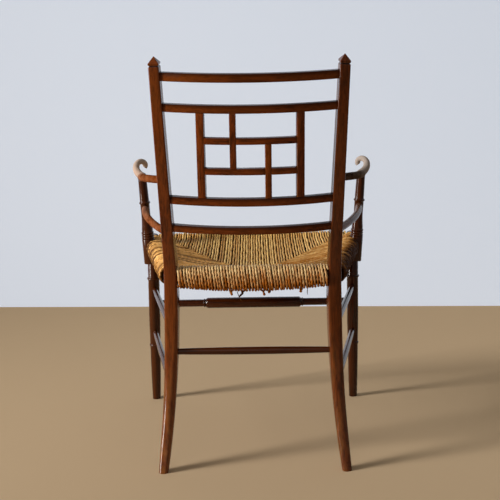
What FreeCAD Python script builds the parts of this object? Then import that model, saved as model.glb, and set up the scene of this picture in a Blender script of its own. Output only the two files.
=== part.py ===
import FreeCAD, Part
import math
import os

from FreeCAD import Vector

# Rush-seated elbow chair with a lattice back, in millimetres.
# The sitter faces +Y and Z is up. While it is built, the rear posts stand on Y = 0 at the seat.
# The right-hand half (+X) is modelled, and the left-hand half is its mirror image.

# Seat plan and height
SEAT_HEIGHT = 425.0        # top of the rush over the seat rails
SEAT_DEPTH = 380.0         # rear post axis to front leg axis
REAR_SPREAD = 344.0        # between the rear post axes at the seat
FRONT_SPREAD = 492.0       # between the front leg axes at the seat
FIT = 0.2                  # clearance round every tenon
LOFT_DEGREE = 3            # highest degree of the swept surfaces

# Rear posts above the seat
POST_RISE = 444.0          # seat to the tip of the post, along the post
BACK_RAKE = 8.8            # degrees the back leans rearward
BACK_FLARE = 2.1           # degrees each post leans outward
POST_TURN = 6.0            # degrees each post is turned to face the hollow of the back
POST_SEAT_WIDTH = 27.0
POST_SEAT_DEPTH = 33.0
POST_SEAT_EASE = 4.0
POST_TOP_WIDTH = 21.5
POST_TOP_DEPTH = 25.0
POST_EASE = 3.0            # rounding of the long corners above the seat
BEND_SHARE = 0.16          # share of the straight post that the bend at the seat takes up
PYRAMID_HEIGHT = 12.5
FASCIA_HEIGHT = 3.0
GROOVE_HEIGHT = 5.0
GROOVE_DEPTH = 2.0
TIP_SIZE = 1.0

# Rear legs, the swept part of the posts below the seat
REAR_KICK = 85.0           # how far the rear feet stand behind the posts at the seat
REAR_FOOT_SPREAD = 387.0
KICK_BELOW_SEAT = 40.0     # where the sweep starts
REAR_FOOT_WIDTH = 20.0
REAR_ANKLE_WIDTH = 24.5
REAR_CALF_WIDTH = 27.5
REAR_KNEE_WIDTH = 28.5
REAR_KNEE_DEPTH = 34.0
REAR_KNEE_EASE = 5.0
ANKLE_SHARE = 0.2          # heights of the sections, as shares of the sweep's height
CALF_SHARE = 0.45
SHIN_SHARE = 0.7
KNEE_SHARE = 0.9
SHIN_SOFTENING = 1.4       # corner rounding of the shin against the knee
FOOT_OVAL = 1.09           # depth of the round leg against its width
ROUND_EASE = 0.44          # corner rounding of the round leg against its width

# Bowed back rails, with heights measured up the back from the seat
BACK_RADIUS = 540.0
RAIL_THICKNESS = 14.5
RAIL_EASE = 2.0
CREST_LEVEL = 396.0
CREST_HEIGHT = 17.5
UPPER_LEVEL = 334.5
UPPER_HEIGHT = 16.5
LOWER_LEVEL = 142.5
LOWER_HEIGHT = 16.5
BOTTOM_LEVEL = 82.0
BOTTOM_HEIGHT = 15.5
RAIL_TENON_HEIGHT = 10.0
RAIL_TENON_THICKNESS = 8.0
RAIL_END_SHY = 3.0         # the shoulder stock stops this far short of the post axis before it is scribed

# Lattice between the upper and lower rails
LATTICE_THICKNESS = 12.0
STILE_WIDTH = 16.0
STILE_OFFSET = 99.7        # stile axis from the middle of the back
SHORT_WIDTH = 13.0
SHORT_OFFSET = 35.1        # short upright axis from the middle of the back
BAR_HEIGHT = 13.0
LATTICE_TENON_LENGTH = 7.0
LATTICE_TENON_SHY = 3.0    # how much each face of a lattice tenon stands back

# Seat rails and rush
SEAT_RAIL_WIDTH = 24.0
SEAT_RAIL_HEIGHT = 24.0
SEAT_RAIL_EASE = 4.0
SEAT_TENON_WIDTH = 12.0
SEAT_TENON_HEIGHT = 9.0
SEAT_TENON_STAGGER = 6.0   # cross rail tenons sit this much high and side rail tenons this much low
RUSH_COVER = 10.0          # rush over each face of a seat rail
RUSH_ROLL_RADIUS = 19.0
RUSH_ROLL_SAG = 9.5        # how much lower the front and rear rolls hang in their middle
RUSH_SAG = 36.0            # how far the middle of the seat has sunk
RUSH_MIDDLE = 28.0         # thickness of the rush in the middle
RUSH_EDGE_DROP = 4.0       # rush inside the roll, below its top
RUSH_EDGE_SAG = 0.04       # share of the sag at the front and rear rails
RUSH_QUARTER = 0.22        # share of the seat's depth where the sag is nearly full
RUSH_QUARTER_SAG = 0.62    # share of the sag there
RUSH_CLEARANCE = 0.3

# Turned front legs
FRONT_LEG_SPLAY = 0.5      # degrees the feet stand outward
FRONT_LEG_RADIUS = 14.0
FRONT_FOOT_RADIUS = 10.0
FRONT_TAPER_TOP = 200.0    # where the taper to the foot starts
FRONT_TAPER_BULGE = 0.5
UPPER_RING_HEIGHT = 313.0
UPPER_RING_BULGE = 2.6
LOWER_RING_HEIGHT = 142.0
LOWER_RING_BULGE = 1.8
RING_LENGTH = 6.0
LEG_TOP_DOME = 3.0

# Turned arm supports, which stand against the side rails
SUPPORT_SETBACK = 70.0     # behind the front leg axis
SUPPORT_OFFSET = 16.2      # axis outside the middle of the side rail
SUPPORT_LEAN = 3.6         # degrees outward
SUPPORT_DROP = 36.0        # lower end below the middle of the side rail
SUPPORT_BLOCK_RADIUS = 15.0
COLLAR_BASE = 24.0         # the collar rings start this far above the middle of the side rail
COLLAR_RINGS = 3
COLLAR_RING = 6.0
COLLAR_BULGE = 1.7
COLLAR_NECK_RADIUS = 13.2
SUPPORT_WAIST_RADIUS = 11.0
SUPPORT_WAIST_RISE = 96.0
SUPPORT_WAIST_HOLLOW = 1.0
SUPPORT_RING_RISE = 111.5
SUPPORT_RING_BULGE = 2.2
SUPPORT_TOP_RADIUS = 10.0
SUPPORT_TENON_RADIUS = 6.0
SUPPORT_TENON_LENGTH = 9.0

# Arms
ARM_REAR_HEIGHT = 614.0    # middle of the arm at the rear post
ARM_FRONT_HEIGHT = 577.5   # middle of the arm over its support
ARM_BOW = 14.0             # outward bow of the arm between them
ARM_REAR_WIDTH = 17.0
ARM_REAR_DEPTH = 16.0
ARM_WIDTH = 22.0
ARM_DEPTH = 17.5
ARM_TENON_RADIUS = 5.5
ARM_TENON_LENGTH = 24.0
ARM_SPANS = 4
SCROLL_ROOT_REACH = 36.0   # outermost point of the scroll in front of the arm support
SCROLL_REACH = 62.0        # foremost point of the scroll in front of the arm support
SCROLL_OUT = 7.0           # middle of the scroll outside the arm over its support
SCROLL_RISE = 19.5         # middle of the scroll above the arm over its support
SCROLL_RADIUS = 10.5
SCROLL_TIP_RADIUS = 9.0
SCROLL_START = -10.0       # degrees up from straight out
SCROLL_END = 215.0
SCROLL_TIP_SIZE = 10.5
SCROLL_TIP_OVAL = 1.15
SCROLL_TAPER = 0.85        # below 1, the scroll thins faster near its root
SCROLL_SPANS = 5
SCROLL_SECTIONS = 9
OVAL_POINTS = 12           # points that each oval section of the arm runs through

# Rails under the arms
UNDER_RAIL_HEIGHT = 500.0
UNDER_RAIL_RADIUS = 8.0
UNDER_RAIL_BOW = 13.5
UNDER_TENON_RADIUS = 5.0
UNDER_TENON_SHY = 3.0      # the tenon stops this far short of the axis of what holds it

# Stretchers
FRONT_STRETCHER_HEIGHT = 248.0
FRONT_STRETCHER_RADIUS = 9.0
FRONT_SWELL_RADIUS = 13.0
FRONT_SWELL_HALF = 114.0
FRONT_SWELL_TAPER = 6.0
FRONT_RING_LENGTH = 4.0
FRONT_RING_BULGE = 1.8
REAR_STRETCHER_HEIGHT = 242.0
REAR_STRETCHER_RADIUS = 6.2
REAR_SWELL_RADIUS = 8.2
SIDE_UPPER_HEIGHT = 288.0
SIDE_LOWER_HEIGHT = 177.0
SIDE_STRETCHER_RADIUS = 5.9
SIDE_SWELL_RADIUS = 7.3
STRETCHER_TENON_RADIUS = 5.0
STRETCHER_TENON_SHY = 2.0  # tenons stop this far short of the leg axes
STRETCHER_STOCK_SHY = 6.0  # shoulder stock stops this far short of them

# Arm screws
SCREW_RADIUS = 2.4
SCREW_HEAD_RADIUS = 4.6
SCREW_HEAD_HEIGHT = 3.0
SCREW_LENGTH = 36.0
SCREW_CLEARANCE = 0.15

# Values worked out from the sizes above
RAIL_MIDDLE = SEAT_HEIGHT - RUSH_COVER - SEAT_RAIL_HEIGHT / 2
POST_AXIS_X = REAR_SPREAD / 2
LEG_AXIS_X = FRONT_SPREAD / 2
SUPPORT_Y = SEAT_DEPTH - SUPPORT_SETBACK
SIDE_SLOPE = (LEG_AXIS_X - POST_AXIS_X) / SEAT_DEPTH
BACK_MIDDLE = (CREST_LEVEL + BOTTOM_LEVEL) / 2
UP = Vector(0, 0, 1)


# Small geometry helpers
def largest_solid(shape):
    return max(shape.Solids, key=lambda solid: solid.Volume)


def one_solid(*shapes):
    joined = shapes[0].multiFuse(list(shapes[1:])) if len(shapes) > 1 else shapes[0]
    return largest_solid(joined.removeSplitter())


def trimmed(shape, *hosts):
    return largest_solid(shape.cut(list(hosts)))


def placed(shape, start, direction):
    """Moves a shape built along +Z so that it starts at a point and runs along a direction."""
    copy = shape.copy()
    copy.Placement = FreeCAD.Placement(start, FreeCAD.Rotation(UP, direction)).multiply(copy.Placement)
    return copy


def mirrored(shape):
    return shape.mirror(Vector(0, 0, 0), Vector(1, 0, 0))


def rounded_section(middle, across, along, width, depth, ease):
    """Closed wire of a round-cornered rectangle, centred on middle in the plane of across and along."""
    half_w, half_d = width / 2, depth / 2
    diagonal = ease * (1 - math.sqrt(0.5))

    def point(a, b):
        return middle + across * a + along * b

    edges = []
    for turn in range(4):
        sign_a = (1, -1, -1, 1)[turn]
        sign_b = (1, 1, -1, -1)[turn]
        on_side = point(sign_a * half_w, sign_b * (half_d - ease))
        on_end = point(sign_a * (half_w - ease), sign_b * half_d)
        corner = point(sign_a * (half_w - diagonal), sign_b * (half_d - diagonal))
        first, last = (on_side, on_end) if turn % 2 == 0 else (on_end, on_side)
        if edges:
            edges.append(Part.makeLine(edges[-1].Vertexes[-1].Point, first))
        edges.append(Part.Arc(first, corner, last).toShape())
    edges.append(Part.makeLine(edges[-1].Vertexes[-1].Point, edges[0].Vertexes[0].Point))
    return Part.Wire(edges)


def oval_section(middle, across, over, width, depth):
    """Closed wire of an oval, centred on middle in the plane of across and over."""
    points = []
    for step in range(OVAL_POINTS):
        angle = 2 * math.pi * step / OVAL_POINTS
        out, up = width / 2 * math.cos(angle), depth / 2 * math.sin(angle)
        points.append(middle + across * out + over * up)
    oval = Part.BSplineCurve()
    oval.interpolate(points, True)
    return Part.Wire(oval.toShape())


def turned(outline):
    """Solid of revolution about Z from (distance, radius) stops, with an optional bulge of the stretch."""
    points = [Vector(stop[1], 0, stop[0]) for stop in outline]
    edges = [Part.makeLine(Vector(0, 0, points[0].z), points[0])]
    for before, after, stop in zip(points, points[1:], outline[1:]):
        bulge = stop[2] if len(stop) > 2 else 0
        if bulge:
            run = (after - before).normalize()
            crown = (before + after) * 0.5 + Vector(run.z, 0, -run.x) * bulge
            edges.append(Part.Arc(before, crown, after).toShape())
        else:
            edges.append(Part.makeLine(before, after))
    edges.append(Part.makeLine(points[-1], Vector(0, 0, points[-1].z)))
    edges.append(Part.makeLine(Vector(0, 0, points[-1].z), Vector(0, 0, points[0].z)))
    return Part.Face(Part.Wire(edges)).revolve(Vector(0, 0, 0), UP, 360)


def rod(start, end, radius):
    return Part.makeCylinder(radius, (end - start).Length, start, end - start)


def box_bar(start, end, width, height, ease=0.0, lift=0.0):
    """Bar of rectangular section from start to end, level, with its long edges rounded."""
    along = end - start
    across = Vector(along.y, -along.x, 0).normalize()
    raised = start + UP * lift
    if ease:
        wire = rounded_section(raised, across, UP, width, height, ease)
    else:
        signs = ((1, 1), (-1, 1), (-1, -1), (1, -1), (1, 1))
        corners = [raised + across * (a * width / 2) + UP * (b * height / 2) for a, b in signs]
        wire = Part.makePolygon(corners)
    return Part.Face(wire).extrude(along)


# Axes that the pieces share
def back_placement():
    """The back's own frame: x across, y up the back, z rearward, from the seat."""
    lean = FreeCAD.Rotation(Vector(1, 0, 0), 90 + BACK_RAKE)
    return FreeCAD.Placement(Vector(0, 0, SEAT_HEIGHT), lean)


def on_back(shape):
    copy = shape.copy()
    copy.Placement = back_placement().multiply(copy.Placement)
    return copy


def post_up():
    flare = math.radians(BACK_FLARE)
    return back_placement().Rotation.multVec(Vector(math.sin(flare), math.cos(flare), 0))


def post_half_spread(level):
    """Distance of the post axis from the middle of the back at a height up the back."""
    return POST_AXIS_X + level * math.tan(math.radians(BACK_FLARE))


def post_axis_above(rise):
    return Vector(POST_AXIS_X, 0, SEAT_HEIGHT) + post_up() * rise


def post_axis_at_height(height):
    return post_axis_above((height - SEAT_HEIGHT) / post_up().z)


def rear_leg_axis(height):
    """Point of the swept leg's axis: straight under the seat, then along an arc to the foot."""
    side_kick = (REAR_FOOT_SPREAD - REAR_SPREAD) / 2
    sweep = math.hypot(side_kick, REAR_KICK)
    start = SEAT_HEIGHT - KICK_BELOW_SEAT
    radius = (start * start + sweep * sweep) / (2 * sweep)
    drop = max(0.0, start - height)
    offset = radius - math.sqrt(radius * radius - drop * drop)
    return Vector(POST_AXIS_X + offset * side_kick / sweep, -offset * REAR_KICK / sweep, height)


def front_leg_axis(height):
    outward = math.tan(math.radians(FRONT_LEG_SPLAY)) * (SEAT_HEIGHT - height)
    return Vector(LEG_AXIS_X + outward, SEAT_DEPTH, height)


def side_rail_axis(y):
    return Vector(POST_AXIS_X + SIDE_SLOPE * y, y, RAIL_MIDDLE)


def support_axis(rise):
    """Point of the arm support's axis, with rise measured along it from the middle of the side rail."""
    lean = math.radians(SUPPORT_LEAN)
    base = side_rail_axis(SUPPORT_Y) + Vector(SUPPORT_OFFSET, 0, 0)
    return base + Vector(math.sin(lean), 0, math.cos(lean)) * rise


def support_rise(height):
    return (height - RAIL_MIDDLE) / math.cos(math.radians(SUPPORT_LEAN))


# Rear posts
def rear_post_stock():
    turn = math.radians(POST_TURN)
    across = Vector(math.cos(turn), math.sin(turn), 0)
    along = Vector(-math.sin(turn), math.cos(turn), 0)
    tilt = FreeCAD.Rotation(UP, post_up())
    across_up = tilt.multVec(across)
    along_up = tilt.multVec(along)
    sweep_top = SEAT_HEIGHT - KICK_BELOW_SEAT
    finial_base = POST_RISE - PYRAMID_HEIGHT - FASCIA_HEIGHT - GROOVE_HEIGHT

    def leg(height, width, depth, ease):
        return rounded_section(rear_leg_axis(height), across, along, width, depth, ease)

    def post(rise, width, depth, ease):
        return rounded_section(post_axis_above(rise), across_up, along_up, width, depth, ease)

    def round_leg(share, width):
        return leg(sweep_top * share, width, width * FOOT_OVAL, width * ROUND_EASE)

    def square_leg(share, ease):
        return leg(sweep_top * share, REAR_KNEE_WIDTH, REAR_KNEE_DEPTH, ease)

    def above_seat(share):
        low_width, low_depth = POST_SEAT_WIDTH - POST_EASE / 2, POST_SEAT_DEPTH - POST_EASE / 2
        width = low_width + (POST_TOP_WIDTH - low_width) * share
        depth = low_depth + (POST_TOP_DEPTH - low_depth) * share
        return post(finial_base * share, width, depth, POST_EASE)

    swept = Part.makeLoft([
        round_leg(0.0, REAR_FOOT_WIDTH),
        round_leg(ANKLE_SHARE, REAR_ANKLE_WIDTH),
        round_leg(CALF_SHARE, REAR_CALF_WIDTH),
        square_leg(SHIN_SHARE, REAR_KNEE_EASE * SHIN_SOFTENING),
        square_leg(KNEE_SHARE, REAR_KNEE_EASE),
        leg(SEAT_HEIGHT - KICK_BELOW_SEAT / 4, POST_SEAT_WIDTH, POST_SEAT_DEPTH, POST_SEAT_EASE),
        above_seat(BEND_SHARE / 2),
        above_seat(BEND_SHARE),
    ], True, False, False, LOFT_DEGREE)
    straight = Part.makeLoft([above_seat(BEND_SHARE), above_seat(1.0)], True, True)

    neck = finial_base + GROOVE_HEIGHT / 2
    fascia = finial_base + GROOVE_HEIGHT
    shy = 2 * GROOVE_DEPTH
    finial = Part.makeLoft([
        post(finial_base, POST_TOP_WIDTH, POST_TOP_DEPTH, POST_EASE),
        post(neck, POST_TOP_WIDTH - shy, POST_TOP_DEPTH - shy, POST_EASE),
        post(fascia, POST_TOP_WIDTH, POST_TOP_DEPTH, POST_EASE / 2),
        post(fascia + FASCIA_HEIGHT, POST_TOP_WIDTH, POST_TOP_DEPTH, POST_EASE / 2),
        post(POST_RISE, TIP_SIZE, TIP_SIZE, TIP_SIZE / 4),
    ], True, True)
    return one_solid(swept, straight, finial)


# Bowed rails and lattice, built in the back's own frame
def bow_centre():
    middle_spread = post_half_spread(BACK_MIDDLE)
    return -math.sqrt(BACK_RADIUS ** 2 - middle_spread ** 2)


def bow_point(offset, level, depth=0.0):
    """Point of the back's bowed middle surface, depth behind it, at a distance across the back."""
    angle = math.asin(offset / BACK_RADIUS)
    radius = BACK_RADIUS + depth
    return Vector(radius * math.sin(angle), level, bow_centre() + radius * math.cos(angle))


def band(half_span, level, height, near, far):
    """Bowed bar between the depths near and far, from -half_span to half_span."""
    def arc(depth):
        return Part.Arc(bow_point(-half_span, level, depth), bow_point(0, level, depth),
                        bow_point(half_span, level, depth)).toShape()

    def end(side):
        offset = side * half_span
        return Part.makeLine(bow_point(offset, level, near), bow_point(offset, level, far))

    wire = Part.Wire(Part.__sortEdges__([arc(near), arc(far), end(-1), end(1)]))
    return Part.Face(wire).extrude(Vector(0, height, 0))


def eased_band(half_span, level, height, thickness, ease):
    bar = band(half_span, level, height, -thickness / 2, thickness / 2)
    long_edges = [edge for edge in bar.Edges if edge.Curve.TypeId == "Part::GeomCircle"]
    return bar.makeFillet(ease, long_edges)


def rail_stock(level, height):
    half_span = post_half_spread(level) - RAIL_END_SHY
    return eased_band(half_span, level, height, RAIL_THICKNESS, RAIL_EASE)


def rail_tenon(level, height, grow=0.0):
    low = level + (height - RAIL_TENON_HEIGHT) / 2 - grow
    reach = RAIL_TENON_THICKNESS / 2 + grow
    return band(post_half_spread(level) + grow, low, RAIL_TENON_HEIGHT + 2 * grow, -reach, reach)


def upright(offset, width, low, high, near, far):
    """Straight bar up the back, square to the bow, between the depths near and far."""
    angle = math.degrees(math.asin(offset / BACK_RADIUS))
    bar = Part.makeBox(width, high - low, far - near, Vector(-width / 2, low, BACK_RADIUS + near))
    turn = FreeCAD.Rotation(Vector(0, 1, 0), angle)
    bar.Placement = FreeCAD.Placement(Vector(0, 0, bow_centre()), turn)
    return bar


def lattice():
    """Bars and uprights of the lattice, and the tenon sockets that they need in the two rails."""
    half = LATTICE_THICKNESS / 2
    slim = half - LATTICE_TENON_SHY
    floor_level = LOWER_LEVEL + LOWER_HEIGHT
    pane = (UPPER_LEVEL - floor_level - 2 * BAR_HEIGHT) / 3
    lower_bar = floor_level + pane
    upper_bar = lower_bar + BAR_HEIGHT + pane
    reach = LATTICE_TENON_LENGTH

    def post_with_tenons(offset, width, low, high):
        body = upright(offset, width, low, high, -half, half)
        thin = width - 2 * LATTICE_TENON_SHY
        foot, head = low - reach, high + reach
        core = upright(offset, thin, foot, head, -slim, slim)
        socket = upright(offset, thin + 2 * FIT, foot - FIT, head + FIT, -slim - FIT, slim + FIT)
        return one_solid(body, core), socket

    stiles, stile_sockets = [], []
    for side in (-1, 1):
        stile, socket = post_with_tenons(side * STILE_OFFSET, STILE_WIDTH, floor_level, UPPER_LEVEL)
        stiles.append(stile)
        stile_sockets.append(socket)

    bars, bar_sockets = [], []
    inner_edge = STILE_OFFSET - STILE_WIDTH / 2
    for level in (lower_bar, upper_bar):
        body = trimmed(band(STILE_OFFSET, level, BAR_HEIGHT, -half, half), *stiles)
        low = level + LATTICE_TENON_SHY
        tall = BAR_HEIGHT - 2 * LATTICE_TENON_SHY
        core = band(inner_edge + reach, low, tall, -slim, slim)
        room = band(inner_edge + reach + FIT, low - FIT, tall + 2 * FIT, -slim - FIT, slim + FIT)
        bars.append(one_solid(body, core))
        bar_sockets.append(room)
    stiles = [trimmed(stile, *bar_sockets) for stile in stiles]

    short_base = lower_bar + BAR_HEIGHT
    upper_short, upper_socket = post_with_tenons(-SHORT_OFFSET, SHORT_WIDTH, short_base, UPPER_LEVEL)
    lower_short, lower_socket = post_with_tenons(SHORT_OFFSET, SHORT_WIDTH, floor_level, upper_bar)

    # Half laps: a bar keeps its front half where an upright crosses it, and the upright its rear half
    def notch_for_bar(level):
        return band(STILE_OFFSET, level - FIT, BAR_HEIGHT + 2 * FIT, -half - FIT, FIT)

    def notch_for_short(offset, level):
        low, high = level - FIT, level + BAR_HEIGHT + FIT
        return upright(offset, SHORT_WIDTH + 2 * FIT, low, high, -FIT, half + FIT)

    upper_short = trimmed(upper_short, notch_for_bar(upper_bar))
    lower_short = trimmed(lower_short, notch_for_bar(lower_bar))
    bars[1] = trimmed(bars[1], notch_for_short(-SHORT_OFFSET, upper_bar), lower_socket)
    bars[0] = trimmed(bars[0], notch_for_short(SHORT_OFFSET, lower_bar), upper_socket)
    pieces = {
        "lattice_stile_left": stiles[0],
        "lattice_stile_right": stiles[1],
        "lattice_bar_lower": bars[0],
        "lattice_bar_upper": bars[1],
        "lattice_short_upper": upper_short,
        "lattice_short_lower": lower_short,
    }
    return pieces, stile_sockets + [upper_socket, lower_socket]


# Turned parts
def front_leg_stock():
    length = SEAT_HEIGHT / math.cos(math.radians(FRONT_LEG_SPLAY))
    overrun = FRONT_FOOT_RADIUS * math.tan(math.radians(FRONT_LEG_SPLAY)) * 2
    taper = (FRONT_LEG_RADIUS - FRONT_FOOT_RADIUS) / FRONT_TAPER_TOP
    lower_ring_radius = FRONT_FOOT_RADIUS + taper * LOWER_RING_HEIGHT
    leg = turned([
        (-overrun, FRONT_FOOT_RADIUS),
        (LOWER_RING_HEIGHT - RING_LENGTH / 2, lower_ring_radius, FRONT_TAPER_BULGE),
        (LOWER_RING_HEIGHT + RING_LENGTH / 2, lower_ring_radius, LOWER_RING_BULGE),
        (FRONT_TAPER_TOP, FRONT_LEG_RADIUS),
        (UPPER_RING_HEIGHT - RING_LENGTH / 2, FRONT_LEG_RADIUS),
        (UPPER_RING_HEIGHT + RING_LENGTH / 2, FRONT_LEG_RADIUS, UPPER_RING_BULGE),
        (length - LEG_TOP_DOME, FRONT_LEG_RADIUS),
        (length, FRONT_LEG_RADIUS - LEG_TOP_DOME * 2, LEG_TOP_DOME / 2),
    ])
    foot = front_leg_axis(0)
    leg = placed(leg, foot, front_leg_axis(SEAT_HEIGHT) - foot)
    size = 4 * FRONT_LEG_RADIUS
    floor = Part.makeBox(size, size, size, foot - Vector(size / 2, size / 2, size))
    return trimmed(leg, floor)


def arm_support_stock():
    """Turned support from its lower end to the middle of the arm, before the arm is scribed to it."""
    top = support_rise(ARM_FRONT_HEIGHT)
    collar_top = COLLAR_BASE + COLLAR_RINGS * COLLAR_RING
    outline = [
        (-SUPPORT_DROP, SUPPORT_BLOCK_RADIUS),
        (COLLAR_BASE, SUPPORT_BLOCK_RADIUS),
        (COLLAR_BASE, COLLAR_NECK_RADIUS),
    ]
    for ring in range(COLLAR_RINGS):
        outline.append((COLLAR_BASE + (ring + 1) * COLLAR_RING, COLLAR_NECK_RADIUS, COLLAR_BULGE))
    outline += [
        (collar_top + COLLAR_RING, COLLAR_NECK_RADIUS),
        (SUPPORT_WAIST_RISE, SUPPORT_WAIST_RADIUS, -SUPPORT_WAIST_HOLLOW),
        (SUPPORT_RING_RISE - RING_LENGTH / 2, SUPPORT_WAIST_RADIUS),
        (SUPPORT_RING_RISE + RING_LENGTH / 2, SUPPORT_WAIST_RADIUS, SUPPORT_RING_BULGE),
        (top, SUPPORT_TOP_RADIUS),
    ]
    return placed(turned(outline), support_axis(0), support_axis(1) - support_axis(0))


def stretcher(start, end, outline):
    """Turned bar between two points, from the half outline (distance from the middle, radius, bulge)."""
    middle = (start + end) * 0.5
    mirrored_half = []
    bulge = 0.0
    for stop in reversed(outline):
        mirrored_half.append((-stop[0], stop[1], bulge))
        bulge = stop[2] if len(stop) > 2 else 0.0
    return placed(turned(mirrored_half + outline), middle, end - start)


def short_of(start, end, distance):
    """The same run with both ends drawn in by a distance."""
    step = (end - start).normalize() * distance
    return start + step, end - step


def swelled_stretcher(start, end, end_radius, middle_radius):
    half = (end - start).Length / 2 - STRETCHER_STOCK_SHY
    swell = middle_radius - end_radius
    middle = (start + end) * 0.5
    bar = turned([(-half, end_radius), (half, end_radius, swell)])
    return placed(bar, middle, end - start)


# Arms and the rails under them
def bow_centre_in_plan(start, end, bow):
    """Centre of the plan arc that runs from start to end and bows outward."""
    chord = end - start
    outward = Vector(chord.y, -chord.x, 0).normalize()
    radius = (chord.Length ** 2 / 4 + bow ** 2) / (2 * bow)
    return (start + end) * 0.5 + outward * (bow - radius)


def under_rail(radius, shy, grow=0.0):
    """Round rail on a level plan arc from rear post to arm support, both ends short of the axes."""
    start = post_axis_at_height(UNDER_RAIL_HEIGHT)
    end = support_axis(support_rise(UNDER_RAIL_HEIGHT))
    centre = bow_centre_in_plan(start, end, UNDER_RAIL_BOW)
    spoke = start - centre
    full = math.degrees(spoke.getAngle(end - centre))
    margin = math.degrees((shy - grow) / spoke.Length)
    circle = Part.Circle(start, spoke.cross(UP), radius + grow)
    halves = [circle.toShape(0, math.pi), circle.toShape(math.pi, 2 * math.pi)]
    ring = Part.Face(Part.Wire(halves))
    ring.rotate(centre, UP, margin)
    return ring.revolve(centre, UP, full - 2 * margin)


def arm_ends():
    """Middle of the arm at the rear post and over its support."""
    return post_axis_at_height(ARM_REAR_HEIGHT), support_axis(support_rise(ARM_FRONT_HEIGHT))


def arm_curve():
    """Middle line of the arm: a bow from the rear post to the support, then the scroll in front of it."""
    rear, front = arm_ends()
    chord = front - rear
    outward = Vector(chord.y, -chord.x, 0).normalize()
    points = []
    for step in range(ARM_SPANS + 1):
        share = step / ARM_SPANS
        points.append(rear + chord * share + outward * (4 * ARM_BOW * share * (1 - share)))
    for step in range(SCROLL_SPANS + 1):
        share = step / SCROLL_SPANS
        angle = math.radians(SCROLL_START + (SCROLL_END - SCROLL_START) * share)
        radius = SCROLL_RADIUS + (SCROLL_TIP_RADIUS - SCROLL_RADIUS) * share
        forward = SCROLL_ROOT_REACH + (SCROLL_REACH - SCROLL_ROOT_REACH) * math.sin(share * math.pi / 2)
        points.append(front + Vector(SCROLL_OUT + radius * math.cos(angle), forward,
                                     SCROLL_RISE + radius * math.sin(angle)))
    curve = Part.BSplineCurve()
    curve.interpolate(points)
    return curve


def arm_stock():
    """Arm of oval section, with its sections evenly spaced along the bow and then along the scroll."""
    curve = arm_curve()
    edge = curve.toShape()
    bow_length = Part.Edge(curve, curve.FirstParameter, curve.parameter(arm_ends()[1])).Length
    scroll_length = edge.Length - bow_length
    sizes = []
    for step in range(ARM_SPANS + 1):
        share = step / ARM_SPANS
        width = ARM_REAR_WIDTH + (ARM_WIDTH - ARM_REAR_WIDTH) * share
        depth = ARM_REAR_DEPTH + (ARM_DEPTH - ARM_REAR_DEPTH) * share
        sizes.append((bow_length * share, width, depth))
    for step in range(1, SCROLL_SECTIONS + 1):
        share = step / SCROLL_SECTIONS
        taper = share ** SCROLL_TAPER
        width = ARM_WIDTH + (SCROLL_TIP_SIZE - ARM_WIDTH) * taper
        depth = ARM_DEPTH + (SCROLL_TIP_SIZE * SCROLL_TIP_OVAL - ARM_DEPTH) * taper
        sizes.append((bow_length + scroll_length * share, width, depth))

    across = None
    sections = []
    for distance, width, depth in sizes:
        where = edge.getParameterByLength(distance)
        middle = edge.valueAt(where)
        run = edge.tangentAt(where).normalize()
        across = run.cross(UP) if across is None else across - run * across.dot(run)
        across.normalize()
        sections.append(oval_section(middle, across, across.cross(run), width, depth))
    bow = Part.makeLoft(sections[:ARM_SPANS + 1], True, False, False, LOFT_DEGREE)
    scroll = Part.makeLoft(sections[ARM_SPANS:], True, False, False, LOFT_DEGREE)
    return largest_solid(bow.fuse(scroll))


# Rush seat
def roll(start, end, set_back_start, set_back_end, sag):
    """Rush round one seat rail, between the posts at its ends, with its underside sagging in the middle."""
    run = (end - start).normalize()
    across = Vector(run.y, -run.x, 0)
    near, far = start + run * set_back_start, end - run * set_back_end
    width = SEAT_RAIL_WIDTH + 2 * RUSH_COVER
    height = SEAT_RAIL_HEIGHT + 2 * RUSH_COVER

    def section(middle, drop):
        lowered = middle - UP * (drop / 2)
        return rounded_section(lowered, across, UP, width, height + drop, RUSH_ROLL_RADIUS)

    stops = [section(near, 0.0), section((near + far) * 0.5, sag), section(far, 0.0)]
    return Part.makeLoft(stops, True, sag == 0, False, LOFT_DEGREE)


def rush_web():
    """The sunken middle of the seat, between the middles of the four rails."""
    edge_top = SEAT_HEIGHT - RUSH_EDGE_DROP
    edge_bottom = RAIL_MIDDLE - SEAT_RAIL_HEIGHT / 2 - RUSH_COVER + RUSH_EDGE_DROP
    middle_bottom = edge_top - RUSH_SAG - RUSH_MIDDLE
    dish = (
        (0.0, RUSH_EDGE_SAG),
        (RUSH_QUARTER, RUSH_QUARTER_SAG),
        (0.5, 1.0),
        (1.0 - RUSH_QUARTER, RUSH_QUARTER_SAG),
        (1.0, RUSH_EDGE_SAG),
    )
    sections = []
    for share, depth in dish:
        y = SEAT_DEPTH * share
        half = side_rail_axis(y).x
        top = edge_top - RUSH_SAG * depth
        bottom = edge_bottom - (edge_bottom - middle_bottom) * depth
        left_top, right_top = Vector(-half, y, edge_top), Vector(half, y, edge_top)
        left_low, right_low = Vector(-half, y, edge_bottom), Vector(half, y, edge_bottom)
        sections.append(Part.Wire([
            Part.Arc(left_top, Vector(0, y, top), right_top).toShape(),
            Part.makeLine(right_top, right_low),
            Part.Arc(right_low, Vector(0, y, bottom), left_low).toShape(),
            Part.makeLine(left_low, left_top),
        ]))
    return Part.makeLoft(sections, True, False)


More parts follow.
